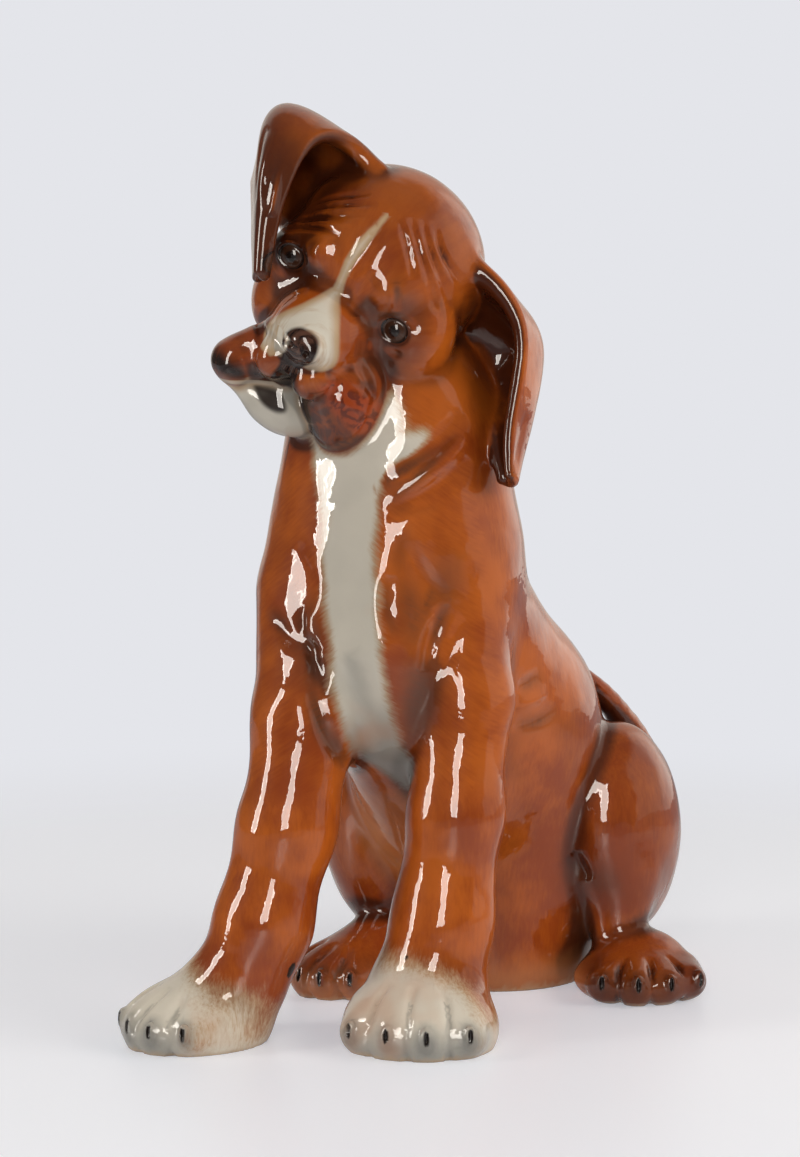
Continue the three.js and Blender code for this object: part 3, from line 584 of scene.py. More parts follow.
def slopeOf(field, p, e=0.25):
    ways = np.array([(1, -1, -1), (-1, -1, 1), (-1, 1, -1), (1, 1, 1)], float)
    return sum(inBatches(field, p + e * w)[:, None] * w for w in ways) / (4 * e)


# Moves points along the slope until they lie on the surface, and keeps them above the floor
def ontoField(p, step, times):
    for _ in range(times):
        g = slopeOf(puppyField, p)
        steep = np.maximum((g * g).sum(1), 0.3)
        move = -(inBatches(puppyField, p) / steep)[:, None] * g
        far = length(move)
        p = p + move * np.minimum(1, 0.8 * step / np.maximum(far, 1e-6))[:, None]
        p[:, 2] = np.maximum(p[:, 2], 0)
    return p


def inFace(p):
    low, high = (np.array(v) for v in puppySize["face"])
    q = toHead(p)
    return np.all((q > low) & (q < high), axis=1)


def pointsOf(mesh):
    points = np.zeros(len(mesh.vertices) * 3)
    mesh.vertices.foreach_get("co", points)
    return points.reshape(-1, 3)


def puppySkin():
    low, high = (np.array(v, float) for v in puppySize["reach"])
    step = puppySize["voxel"]
    points, quads = surfaceNet(sampleGrid(puppyField, low, high, step), low, step)
    print("skin sampled:", len(quads), "faces")
    mesh = bpy.data.meshes.new("puppySkin")
    mesh.from_pydata(points.tolist(), [], quads.tolist())
    # the face gets four times the faces, and keeps more of them
    face = set(np.flatnonzero(inFace(points)).tolist())
    fine = bmesh.new()
    fine.from_mesh(mesh)
    edges = [edge for edge in fine.edges if edge.verts[0].index in face and edge.verts[1].index in face]
    bmesh.ops.subdivide_edges(fine, edges=edges, cuts=1, use_grid_fill=True)
    fine.to_mesh(mesh)
    fine.free()
    points = pointsOf(mesh)
    face = inFace(points)
    points[face] = ontoField(points[face], step, 1)
    mesh.vertices.foreach_set("co", points.ravel())
    puppy = bpy.data.objects.new("puppyGlazed", mesh)
    bpy.context.scene.collection.objects.link(puppy)
    plain = puppy.vertex_groups.new(name="plain")
    plain.add(np.flatnonzero(~face).tolist(), 1.0, "REPLACE")
    plain.add(np.flatnonzero(face).tolist(), puppySize["faceThinning"], "REPLACE")
    triangles = sum(len(polygon.vertices) - 2 for polygon in mesh.polygons)
    thin = puppy.modifiers.new("thin", "DECIMATE")
    thin.ratio = min(1.0, puppySize["triangles"] / triangles)
    thin.vertex_group = "plain"
    thin.use_collapse_triangulate = True
    bpy.context.view_layer.update()
    final = bpy.data.meshes.new_from_object(puppy.evaluated_get(bpy.context.evaluated_depsgraph_get()))
    puppy.modifiers.remove(thin)
    puppy.data = final
    puppy.vertex_groups.clear()
    # the thinned vertices go back onto the field
    p = ontoField(pointsOf(final), step, 2)
    normals = slopeOf(puppyField, p)
    normals /= np.maximum(length(normals), 1e-6)[:, None]
    return puppy, p, normals


# 0 to 1 as v goes from low to high, also where low is the greater
def smoothStep(low, high, v):
    t = np.clip((v - low) / (high - low), 0, 1)
    return t * t * (3 - 2 * t)


# Where the underglaze colours and the painted shade of the furrows lie, as shapes that the skin runs through.
# Each is kept on the mesh as a distance in millimetres, above 0 inside, so that its edge stays fine.
# The face colours are outlines seen from the front of the head.
paint = {
    "stripe": ([(-10, -44, 330), (-10, -45, 312), (-10, -47, 294), (-10, -52, 276), (-9, -55, 258),
                (-6, -60, 236), (-2, -65, 214), (0, -64, 194), (4, -60, 171), (8, -46, 148), (16, -28, 134)],
               [27, 25, 20, 17, 16, 15.5, 14.5, 14.5, 14, 13.5, 10]),
    "breastbone": ([(-3, -66, 205), (1, -62, 183), (8, -46, 157), (20, -38, 135)], [1, 2, 3, 4]),
    "underEar": ([(2, -46, 312), (18, -43, 316), (27, -38, 320)], [10, 9, 6]),
    # the white line up the forehead
    "blaze": ([(-1, 0, 43), (-2.5, 0, 32), (-3.5, 0, 24), (-4, 0, 14), (-3, 0, 4), (-2, 0, -3)],
              [0.6, 2.2, 3.0, 2.7, 2.4, 3.2]),
    "muzzleWhite": [(-3, 2), (2, -5), (8, -9), (14, -17), (19, -27), (18.5, -35), (9, -39), (2, -39),
                    (-10, -41), (-18, -44), (-25, -42), (-25, -33), (-20, -23), (-13, -14), (-8, -6)],
    "nose": [(-11, -26), (-6, -20), (0, -19), (6, -20), (9.5, -25), (10, -31), (8, -36), (4.5, -40), (3, -47),
             (-5, -47), (-7.5, -40), (-9.5, -33)],
    "philtrum": [(-7, -34), (5, -34), (5, -46), (9, -60), (-10, -60), (-6, -46)],
    "lips": [(-50, -76), (-47, -63), (-38, -59), (-27, -60), (-18, -55), (-8, -55), (-3, -46),
             (-4, -38), (4, -37), (6, -46), (13, -55), (20, -62), (29, -71), (40, -80), (44, -92),
             (20, -84), (8, -66), (-4, -61), (-16, -67), (-30, -74)],
    "lipShade": [(10, -50), (20, -47), (30, -53), (42, -60), (54, -64), (58, -80), (40, -92), (24, -80)],
    "ember": [(18, -44), (24, -38), (36, -39), (47, -43), (52, -52), (47, -62), (36, -56), (25, -52)],
    "bumps": [(-14, 0, -47), (12, 0, -48)],  # the two lip pads under the nose, browner than the lips
    # the dark of the mouth on the chin, with the painted shadow under the upper lip
    "wedge": [(-19, -69), (-10, -64), (0, -62), (9, -70), (3, -75), (-8, -75)],
    "lipLine": ([(-34, 0, -78), (-20, 0, -69), (-7, 0, -61.5), (2, 0, -63), (11, 0, -69),
                 (20, 0, -79)], [0.7] * 6),
    # a curl of white beside the nose
    "curl": ([(-19, 0, -40), (-13, 0, -42), (-9, 0, -39), (-6.5, 0, -34), (-7, 0, -28), (-12, 0, -27),
              (-15, 0, -31), (-13, 0, -35.5), (-10, 0, -34)], [1.3, 1.2, 1.1, 1.0, 0.9, 0.9, 0.8, 0.7, 0.5]),
    "furrows": [  # brown brushed along the folds of the body, with painted shade in them: path, width, strength
        ([(34, -28, 316), (17, -42, 304), (-1, -50, 290)], 3.4, 0.8),
        ([(40, -20, 324), (26, -42, 301), (4, -52, 283)], 3.0, 0.7),
        ([(19, -49, 277), (19, -51, 262), (18, -54, 247)], 5.5, 0.4),
        ([(15, -56, 249), (15, -60, 232), (21, -58, 216)], 4.0, 0.7),
        ([(39, -39, 250), (31, -43, 233), (29, -49, 220)], 3.2, 0.6),
        ([(44, -34, 240), (36, -38, 224), (34, -43, 203)], 3.4, 0.7),
        ([(-60, -47, 228), (-37, -62, 214), (-21, -66, 206)], 4.5, 0.6),
        ([(-33, -53, 238), (-25, -63, 221), (-23, -65, 208)], 4.0, 0.6),
        ([(-26, -67, 202), (-17, -76, 172), (-10, -58, 148)], 4.5, 0.9),
        ([(29, -50, 213), (28, -48, 184), (22, -46, 160)], 11.0, 0.75),
        ([(22, -54, 254), (25, -50, 228), (24, -50, 203)], 10.0, 0.55),
        ([(-30, -56, 240), (-27, -64, 210), (-22, -72, 180)], 11.0, 0.6),
        ([(-46, -52, 224), (-34, -62, 200), (-24, -68, 176)], 10.0, 0.5),
        ([(44, -34, 262), (40, -36, 244), (38, -38, 226)], 9.0, 0.4),
        ([(61, 25, 180), (64, 33, 184), (69, 45, 186)], 4.0, 0.5),
        ([(57, 28, 160), (65, 41, 160), (74, 57, 167)], 4.5, 0.6),
        ([(101, 88, 66), (84, 87, 64), (67, 82, 70)], 7.0, 0.5),
        ([(79, 93, 51), (77, 104, 34), (84, 92, 22)], 8.0, 0.6),
    ],
    "faceFurrowShade": [  # the same on the face, in the head's frame
        ([(12, -52, 5), (14, -53, 0), (13, -53, -7)], 4.8, 0.6),
        ([(20, -49, 19), (26, -49, 12), (28, -48, 4)], 2.8, 0.7),
        ([(23, -48, -6), (21, -50, -10), (24, -50, -16)], 3.4, 0.7),
        ([(31, -44, -19), (41, -43, -18), (48, -43, -9)], 3.6, 0.5),
        ([(21, -60, -14), (29, -56, -26), (42, -55, -38)], 6.5, 0.6),
        ([(48, -47, -43), (61, -42, -37), (67, -30, -26)], 2.4, 0.6),
        ([(22, -48, -9), (29, -45, 1), (42, -41, 1)], 1.8, 0.9),
        ([(-46, -42, -10), (-34, -50, -17), (-22, -54, -13)], 5.0, 0.7),
        ([(-46, -38, 8), (-34, -46, 12), (-22, -50, 6)], 3.5, 0.5),
    ],
    # brown round the left eye
    "eyeShade": [(15, -10), (13, 4), (20, 14), (30, 16), (42, 9), (52, -4), (52, -22), (40, -32), (27, -26)],
    "tanBump": (20, 0, 6),  # lighter than the rest of the brow
    "jaw": ([(0, -12, -60), (0, -42, -72)], [30, 24]),
    "chin": ((-1, -46, -77), (32, 29, 24)),
    # paler brown between the legs
    "belly": ([(-4, 0, 158), (-2, 20, 128), (-4, 44, 96)], [26, 34, 34]),
    "sock": (48, 0.22, 0.012),  # mm above the floor at the middle, and its fall to the outer side
    "nail": ((0, -2.2, 0.2), (1.5, 3.2, 4.4)),  # the dark slit, as an egg
    "eyeCorner": {"left": (-9, 0, -1.5), "right": (9, 0, -1.5)},
    "specks": [((29, -69, 47), 1.6), ((24, -71, 49), 0.9), ((-29, -88, 41), 3.2)],
}


# Cuts the corners of a closed outline, so that it is a curve
def rounded(points, times=2):
    points = np.array(points, float)
    for _ in range(times):
        after = np.roll(points, -1, 0)
        points = np.stack([points * 0.75 + after * 0.25, points * 0.25 + after * 0.75], 1).reshape(-1, 2)
    return points


# Distance into a closed outline, under 0 outside
def insideOutline(spots, points):
    points = rounded(points)
    away, within = np.full(len(spots), 1e9), np.zeros(len(spots), bool)
    for a, b in zip(points, np.roll(points, -1, 0)):
        edge, gap = b - a, spots - a
        t = np.clip((gap @ edge) / (edge @ edge), 0, 1)
        away = np.minimum(away, ((gap - t[:, None] * edge) ** 2).sum(1))
        crossed = (a[1] <= spots[:, 1]) != (b[1] <= spots[:, 1])
        rise = b[1] - a[1] if abs(b[1] - a[1]) > 1e-9 else 1e-9
        within ^= crossed & (spots[:, 0] < a[0] + (spots[:, 1] - a[1]) / rise * edge[0])
    return np.where(within, 1, -1) * np.sqrt(away)


# The lip pads alone, which are the head's masses that carry the colour of the lips
def upperLipField(q):
    pads = []
    for row in head["masses"]:
        if row.get("lip"):
            pads += [masses(q * np.array([side, 1, 1]), [{**row, "both": False}]) for side in sidesOf(row)]
    return np.minimum.reduce(pads)


def headPaint(q, headSide, onHead):
    front = q * np.array([1, 0, 1])
    inside = lambda name: insideOutline(q[:, [0, 2]], paint[name])
    spotOf = lambda spot, wide, core: smoothStep(wide, core, length(front - np.array(spot)))
    ahead = smoothStep(-24, -34, q[:, 1]) * onHead
    behind = -30 * (1 - ahead)  # keeps the colours of the face off the back of the head
    lip = upperLipField(q)
    onLip = smoothStep(2.5, 0.5, lip) * ahead
    line = smoothStep(1.2, 0.0, limb(front, *paint["lipLine"], 1)) * ahead
    curl = -limb(front, *paint["curl"], 0.5) + behind
    under = np.minimum(np.maximum(-egg(q, *paint["chin"]), -limb(q, *paint["jaw"])), lip - 1.2)
    muzzle = np.maximum(-limb(front, *paint["blaze"], 1), inside("muzzleWhite")) + behind
    white = np.maximum.reduce([muzzle, np.minimum(under, headSide), 3 * line - 1 + behind, curl])
    ember = smoothStep(-4, 3, inside("ember")) * ahead
    lips = smoothStep(-5.0, 8.0, inside("lips")) * onLip
    lips = np.maximum(lips, smoothStep(-1.5, 2, inside("philtrum")) * ahead)
    for spot in paint["bumps"]:
        lips *= 1 - 0.3 * spotOf(spot, 6, 1.5)
    wedge = smoothStep(-1.5, 3, inside("wedge")) * ahead * (1 - smoothStep(2.5, 0.5, lip))
    smoke = 0.4 * smoothStep(-6, 6, inside("eyeShade")) * ahead
    # smoky brown round the left eye, and brushed brown with painted shade along the furrows of the face
    for path, width, much in paint["faceFurrowShade"]:
        smoke = np.maximum(smoke, fold(q, path, width, 1.3 * much) * onHead)
    return {
        "white": white,
        "under": under,
        "onLip": onLip,
        "ember": ember,
        "lips": np.maximum(lips, 0.85 * wedge) * (1 - 0.7 * ember) * (1 - 0.8 * line),
        "smoke": smoke * (1 - spotOf(paint["tanBump"], 8, 3)),
        "plum": smoothStep(-4, 4, inside("lipShade")) * onLip * (1 - ember),
        "nose": np.minimum(inside("nose") + behind, -curl),
    }


# Nails and toes, and the white and the grey of the two forepaws
def pawPaint(p):
    white, nails = np.full(len(p), -20.0), np.full(len(p), -20.0)
    grey, toes = np.zeros(len(p)), np.zeros(len(p))
    for n, leg in enumerate(body["legs"]):
        r = toPaw(p, leg["paw"])
        w, l, _ = leg["paw"]["size"]
        for spot, turn in nailSpots(leg["paw"]):
            s = (r - np.array(spot)) @ turned("z", turn)
            nails = np.maximum(nails, -egg(s, *paint["nail"]))
            toes = np.maximum(toes, smoothStep(10, 2, length(s * np.array([1.3, 1, 0.8]))))
        if n < 2:
            top, fall, bend = paint["sock"]
            outward = np.maximum(r[:, 0], 0)
            edge = top - fall * outward - bend * outward ** 2
            sock = np.minimum(edge - p[:, 2], -egg(r, (0, -4, 12), (w * 0.62, l * 0.62, 52)))
            white = np.maximum(white, 0.45 * sock)
            low = smoothStep(24, 6, p[:, 2]) * smoothStep(4, -l * 0.4, r[:, 1])
            grey = np.maximum(grey, 0.8 * low * (sock > -4))
    return white, grey, nails, toes


# The eyeball as a distance, the iris as a radius and the dark edge of the lids as a strength
def eyePaint(q):
    ball, iris, rim = np.full(len(q), -20.0), np.full(len(q), 20.0), np.zeros(len(q))
    wide, high = head["eyes"]["lid"]
    for side in ("left", "right"):
        s = q - np.array(head["eyes"][side])
        flat = np.sqrt((s[:, 0] / wide) ** 2 + (s[:, 2] / high) ** 2)
        front = (q[:, 1] < -28) & (flat < 4)
        ball = np.where(front, np.maximum(ball, (0.93 - flat) * 7), ball)
        iris = np.where(front, np.minimum(iris, np.hypot(s[:, 0], s[:, 2])), iris)
        ring = np.exp(-((flat - 1.02) / 0.12) ** 2)
        corner = length((s - np.array(paint["eyeCorner"][side])) * np.array([0.5, 0.3, 1.2]))
        rim = np.maximum(rim, np.where(front, np.maximum(ring, 0.8 * np.exp(-(corner / 2.2) ** 2)), 0))
    return ball, iris, rim


def stripePaint(p, headSide, furrows):
    stripe = np.maximum(-limb(p, *paint["stripe"], 4), -limb(p, *paint["underEar"], 3))
    stripe = np.minimum(stripe, -headSide)
    # the brown and painted shade of the neck folds run across the white
    return stripe - 16 * furrows * (p[:, 2] > 270)


def greyPaint(p, stripe, under, onHead):
    z = p[:, 2]
    middle = smoothStep(-40, -30, -np.abs(p[:, 0]))
    return np.maximum.reduce([
        0.55 * smoothStep(11, 0, limb(p, *paint["breastbone"])),
        0.35 * smoothStep(-4, 10, np.where(onHead > 0.5, under, -9)),
        0.95 * smoothStep(205, 150, z) * (stripe > -4),
        0.3 * smoothStep(330, 300, z) * (stripe > -4) * middle])


# Darker colour: painted shade in the hollows of the form and painted light on small ridges, darker brown
# inside the ears, brushed brown with painted shade along the furrows, painted shade under the jaw and on the
# crown, and on the parts brushed over twice
def shadeAndMahoganyPaint(p, q, normals, trunk, furrows, onHead, face):
    x, y, z = p.T
    shut = lambda reach: (reach - inBatches(puppyField, p + reach * normals)) / reach
    # painted shade: darker where the form closes over a point, at two reaches; painted light: lighter on
    # small ridges
    shadeAndMahogany = smoothStep(0.12, 0.7, shut(7)) * 0.75 + smoothStep(0.25, 0.85, shut(22)) * 0.4
    shadeAndMahogany += np.clip(shut(2.6) * 2.8, -0.2, 0.45)
    shadeAndMahogany = shadeAndMahogany * (1 - 0.6 * furrows) + 0.3 * furrows
    tip, root = ears["thick"]["tip"], ears["thick"]["root"]
    for side in ("left", "right"):
        leaf = ears[side]
        d, u = np.full(len(p), 60.0), np.zeros(len(p))
        close = length(p - leaf.seeds.mean(0)) < 95
        d[close], u[close], _ = leaf.nearest(p[close])
        on = smoothStep(2.2, 0.6, d - tip - (root - tip) * (1 - u) ** 2) * smoothStep(0.5, 3.5, trunk)
        if side == "left":
            # the painted shade of the hollows is taken off the skin next to the left ear
            shadeAndMahogany *= 1 - 0.85 * smoothStep(24, 8, d - tip) * (1 - on)
            inner = 0.9 * smoothStep(0.3, -0.3, normals @ np.array([0.75, 0.55, 0.2]))
        else:
            inner = 0.7 * smoothStep(0.2, -0.5, normals @ np.array([-0.55, -0.6, 0.3]))
            inner = np.maximum(inner, 0.85 * smoothStep(0.3, 0.95, u))
        shadeAndMahogany = np.maximum(shadeAndMahogany, on * inner)
    # painted shade on the neck under the jaw
    jaw = smoothStep(385, 355, z) * smoothStep(335, 350, z) * smoothStep(-20, -40, y)
    shadeAndMahogany = np.maximum.reduce([shadeAndMahogany, 0.6 * jaw * (1 - onHead), np.zeros(len(p))])
    # painted shade: darker towards the top of the head
    shadeAndMahogany += 0.32 * onHead * smoothStep(-10, 35, q[:, 2])  # crown
    shadeAndMahogany += 0.03 * smoothStep(150, 190, z) * smoothStep(330, 300, z) * smoothStep(10, -30, y)  # chest
    shadeAndMahogany += 0.28 * face["onLip"] * (1 - face["ember"])
    haunch = smoothStep(62, 80, x) * smoothStep(20, 50, z) * smoothStep(190, 150, z)
    shadeAndMahogany += 0.3 * haunch * smoothStep(10, 40, y)
    hindPaws = smoothStep(38, 12, z) * smoothStep(0, 30, y) * smoothStep(42, 54, np.abs(x - 30))
    return np.maximum(shadeAndMahogany, 0.7 * hindPaws)


# The brush follows the fur: out from the nose on the head, across the chest, down the legs,
# and round the nose it turns into a curl
def brushFlow(p, q, onHead, swirl):
    x, y, z = p.T
    gap = q - np.array([0.0, -60.0, -28.0])
    angle = np.arctan2(gap[:, 2], gap[:, 0])
    outward = np.stack([30 * np.cos(angle), 30 * np.sin(angle), length(gap) / 6], -1)
    curl = np.stack([length(gap[:, [0, 2]]) * 0.5 + 1.2 * angle, np.cos(angle), np.sin(angle)], -1)
    across = np.stack([x / 5, y / 5, z + 0.7 * np.abs(x + 5)], -1)
    down = np.stack([x, y, z / 5], -1)
    chest = smoothStep(-5, -30, y) * smoothStep(120, 150, z)
    pick = lambda where, one, other: np.where(where[:, None], one, other)
    return pick(onHead > 0.5, pick(swirl > 0.01, curl, outward), pick(chest > 0.5, across, down))


def paintMasks(p, normals):
    x, y, z = p.T
    q = toHead(p)
    trunk = inBatches(lambda s: masses(s, body["trunk"]), p)
    headSide = trunk - inBatches(lambda s: masses(toHead(s), head["masses"]), p)
    onHead = smoothStep(-6, 6, headSide)
    face = headPaint(q, headSide, onHead)
    furrows = np.maximum.reduce([fold(p, *row) for row in paint["furrows"]])
    stripe = stripePaint(p, headSide, furrows)
    socks, pawGrey, nails, toes = pawPaint(p)
    specks = [r - length((p - np.array(spot)) * np.array([1, 1, 0.6])) for spot, r in paint["specks"]]
    ball, iris, rim = eyePaint(q)
    belly = smoothStep(8, -12, limb(p, *paint["belly"], 6))
    belly = np.maximum(belly, 0.9 * smoothStep(26, 4, z) * smoothStep(96, 80, x) * (y > 8))
    shadeAndMahogany = shadeAndMahoganyPaint(p, q, normals, trunk, furrows, onHead, face) * (1 - 0.5 * belly)
    inMuzzle = smoothStep(-4, 0, insideOutline(q[:, [0, 2]], paint["muzzleWhite"]))
    mask = {
        "tan": belly,
        "white": np.clip(np.maximum.reduce([stripe, face["white"], socks]), -20, 20),
        "grey": np.maximum(greyPaint(p, stripe, face["under"], onHead), pawGrey),
        "black": np.clip(np.maximum.reduce([nails, *specks]), -20, 20),
        "lips": face["lips"],
        "ember": face["ember"],
        "smoke": np.minimum(np.maximum(face["smoke"], 1.3 * furrows), 1),
        "plum": face["plum"],
        "nose": np.clip(face["nose"], -20, 20),
        "foot": smoothStep(2.4, 0.9, z),
        "eyeBall": ball,
        "iris": iris,
        "rim": rim,
        "shadeAndMahogany": np.clip(shadeAndMahogany, 0, 1),
        "onHead": onHead,
        "toes": toes,
        "swirl": inMuzzle * smoothStep(-45, -52, q[:, 1]),
    }
    return mask, brushFlow(p, q, onHead, mask["swirl"])


def linear(r, g, b):
    part = lambda v: v / 12.92 if v <= 0.04045 else ((v + 0.055) / 1.055) ** 2.4
    return (part(r / 255), part(g / 255), part(b / 255), 1.0)


class Nodes:
    def __init__(self, owner):
        owner.use_nodes = True
        self.tree = owner.node_tree
        self.tree.nodes.clear()

    # a node, with its inputs set or linked and its other settings
    def add(self, kind, inputs={}, **settings):
        node = self.tree.nodes.new(kind)
        for name, value in settings.items():
            setattr(node, name, value)
        for name, value in inputs.items():
            if isinstance(value, bpy.types.NodeSocket):
                self.tree.links.new(value, node.inputs[name])
            else:
                node.inputs[name].default_value = value
        return node

    def math(self, operation, a, b, clamp=False):
        return self.add("ShaderNodeMath", {0: a, 1: b}, operation=operation, use_clamp=clamp).outputs[0]

    def times(self, a, b):
        return self.math("MULTIPLY", a, b)

    def plus(self, total, *others):
        for value in others:
            total = self.math("ADD", total, value)
        return total

    def around(self, value, amount):
        return self.times(self.math("SUBTRACT", value, 0.5), amount)

    def step(self, value, low, high, toLow=0.0, toHigh=1.0):
        ends = {"Value": value, "From Min": low, "From Max": high, "To Min": toLow, "To Max": toHigh}
        return self.add("ShaderNodeMapRange", ends, interpolation_type="SMOOTHSTEP").outputs["Result"]

    def mix(self, factor, a, b):
        return self.add("ShaderNodeMix", {0: factor, 6: a, 7: b}, data_type="RGBA").outputs[2]

    def noise(self, vector, scale, detail, roughness=0.55, distortion=0.0):
        inputs = {"Vector": vector, "Scale": scale, "Detail": detail, "Roughness": roughness,
                  "Distortion": distortion}
        return self.add("ShaderNodeTexNoise", inputs).outputs["Fac"]

    def attribute(self, name):
        return self.add("ShaderNodeAttribute", attribute_name=name)

    def isSeen(self):
        return self.add("ShaderNodeLightPath").outputs["Is Camera Ray"]


glazeLook = {
    "chestnut": linear(145, 63, 20),
    "orange": linear(186, 94, 28),
    # dark brown, laid as real paint and as painted shade in the hollows
    "shadeAndMahogany": linear(66, 28, 14),
    "tan": linear(196, 132, 84),
    "white": linear(222, 216, 202),
    "cream": linear(190, 160, 124),
    "slate": linear(112, 114, 112),
    "smoke": linear(92, 55, 36),
    "ember": linear(156, 62, 20),
    "emberDark": linear(98, 34, 12),
    "plum": linear(82, 46, 36),
    "noseBrown": linear(98, 64, 50),
    "lip": linear(34, 17, 12),
    "black": linear(28, 17, 13),
    "iris": linear(72, 42, 26),
    "feather": 4.0,  # mm that the brush strokes reach over an edge
    "gloss": (0.015, 0.05),  # roughness of the glaze where it is most and least even
    "waves": ((42.0, 0.9), (120.0, 0.26)),  # scale and height: slow waves, and a faint orange peel
    "waveDepth": 0.0019,  # m
}


# Each layer covers what lies below it by its factor
def layered(n, colour, layers):
    for factor, tint in layers:
        colour = n.mix(factor, colour, glazeLook[tint] if isinstance(tint, str) else tint)
    return colour


def glazeColour(n, place):
    brush = n.attribute("brush").outputs["Vector"]
    mask = lambda name: n.attribute(name).outputs["Fac"]
    strokes = n.noise(brush, 0.55, 4.0, 0.6)
    fineStrokes = n.noise(brush, 1.6, 3.0, 0.6)
    clouds = n.noise(place, 14.0, 3.0)
    patches = n.noise(place, 34.0, 2.0)
    stains = n.noise(place, 26.0, 2.0)
    marbling = n.noise(place, 62.0, 2.0, 0.5, 3.4)
    onHead, toes, lips = mask("onHead"), mask("toes"), mask("lips")
    # the reddish brown is brushed over orange, thinner here and thicker there
    tone = n.plus(n.times(strokes, 0.15), n.times(clouds, 0.55), n.times(patches, 0.3))
    # the darker brown, which carries the painted shade of the hollows, with random patches
    dark = n.plus(mask("shadeAndMahogany"), n.around(patches, 0.3), n.around(fineStrokes, 0.07))
    # white underglaze, feathered into the brown with the tip of the brush
    feather = n.step(onHead, 0.0, 1.0, glazeLook["feather"], 0.5)
    reach = n.plus(n.around(strokes, 1.5), n.around(fineStrokes, 0.8), n.around(patches, 2.0))
    reach = n.times(reach, feather)
    softness = n.step(onHead, 0.0, 1.0, 3.2, 0.9)
    whiteIn = n.step(n.plus(mask("white"), reach), n.times(softness, -1.0), softness)
    grey = n.math("ADD", n.plus(mask("grey"), n.times(toes, 0.5)), n.around(patches, 0.35), clamp=True)
    pale = layered(n, glazeLook["cream"], [
        (n.step(n.plus(mask("white"), n.times(reach, 0.6)), 0.3, 5.0), "white"),
        (n.times(mask("swirl"), n.step(strokes, 0.45, 0.68, 0.0, 0.8)), "cream"),
        (n.times(grey, 0.8), "slate"),
        # painted shade: the white turns grey where the hollows are shaded
        (n.step(mask("shadeAndMahogany"), 0.25, 1.0, 0.0, 0.5), "slate"),
        (n.times(n.step(stains, 0.5, 0.75, 0.0, 0.35), n.math("SUBTRACT", 1.0, onHead)), "tan"),
    ])
    embers = layered(n, glazeLook["emberDark"], [(n.step(marbling, 0.36, 0.54), "ember")])
    nose = layered(n, glazeLook["lip"], [(n.step(strokes, 0.44, 0.66, 0.0, 0.8), "noseBrown")])
    eye = layered(n, glazeLook["black"], [  # pupil, iris and the dark round it, by the radius in mm
        (n.step(mask("iris"), 2.2, 4.2), "iris"),
        (n.step(mask("iris"), 5.4, 7.0), "black"),
    ])
    return layered(n, glazeLook["chestnut"], [
        (n.step(tone, 0.4, 0.6), "orange"),
        # darker brown with the painted shade of the hollows
        (n.step(dark, 0.05, 0.95, 0.0, 0.92), "shadeAndMahogany"),
        # smoky brown round the eye, and painted shade with brushed brown along the furrows
        (n.times(mask("smoke"), n.step(strokes, 0.3, 0.7, 0.7, 1.0)), "smoke"),
        (n.times(mask("tan"), n.step(clouds, 0.3, 0.7, 0.45, 0.85)), "tan"),
        (n.times(toes, 0.45), "shadeAndMahogany"),
        (whiteIn, pale),
        (n.times(mask("plum"), n.step(marbling, 0.35, 0.62, 0.95, 0.5)), "plum"),
        (n.step(n.plus(lips, n.times(n.around(patches, 0.5), lips)), 0.0, 0.95), "lip"),
        (n.times(mask("ember"), 0.9), embers),
        (n.times(mask("rim"), 0.6), "lip"),
        (n.step(mask("nose"), -0.9, 0.9), nose),
        (n.times(mask("foot"), 0.7), "cream"),
        (n.step(n.plus(mask("black"), n.times(reach, 0.1)), -0.5, 0.5), "black"),
        (n.step(mask("eyeBall"), -0.3, 0.5), eye),
    ])


def glazeMaterial():
    material = bpy.data.materials.new("paintedGlaze")
    n = Nodes(material)
    place = n.add("ShaderNodeTexCoord").outputs["Object"]
    waves = n.plus(*[n.times(n.noise(place, scale, 2.0), height) for scale, height in glazeLook["waves"]])
    bump = n.add("ShaderNodeBump", {"Strength": 0.4, "Distance": glazeLook["waveDepth"], "Height": waves})
    shader = n.add("ShaderNodeBsdfPrincipled", {
        "Base Color": glazeColour(n, place),
        "Roughness": 0.45,
        "Specular IOR Level": 0.05,
        "Coat Weight": 1.0,
        "Coat Roughness": n.step(n.noise(place, 60.0, 3.0), 0.3, 0.8, *glazeLook["gloss"]),
        "Normal": bump.outputs["Normal"],
        "Coat Normal": bump.outputs["Normal"],
    })
    n.add("ShaderNodeOutputMaterial", {"Surface": shader.outputs[0]})
    return material


def makePuppy():
    puppy, p, normals = puppySkin()
    mask, brush = paintMasks(p, normals)
    print("colours laid")
    mesh = puppy.data
    placed = (p + np.array(puppySize["centring"])) / 1000
    mesh.vertices.foreach_set("co", placed.ravel())
    for name, values in mask.items():
        layer = mesh.attributes.new(name, "FLOAT", "POINT")
        layer.data.foreach_set("value", values.astype(np.float32))
    layer = mesh.attributes.new("brush", "FLOAT_VECTOR", "POINT")
    layer.data.foreach_set("vector", brush.astype(np.float32).ravel())
    mesh.shade_smooth()
    mesh.update()
    mesh.normals_split_custom_set_from_vertices(normals.tolist())
    mesh.materials.clear()
    mesh.materials.append(glazeMaterial())
    print("puppy:", len(mesh.polygons), "triangles")
    return puppy


puppy = makePuppy()
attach(puppy, "root")
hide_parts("puppy")


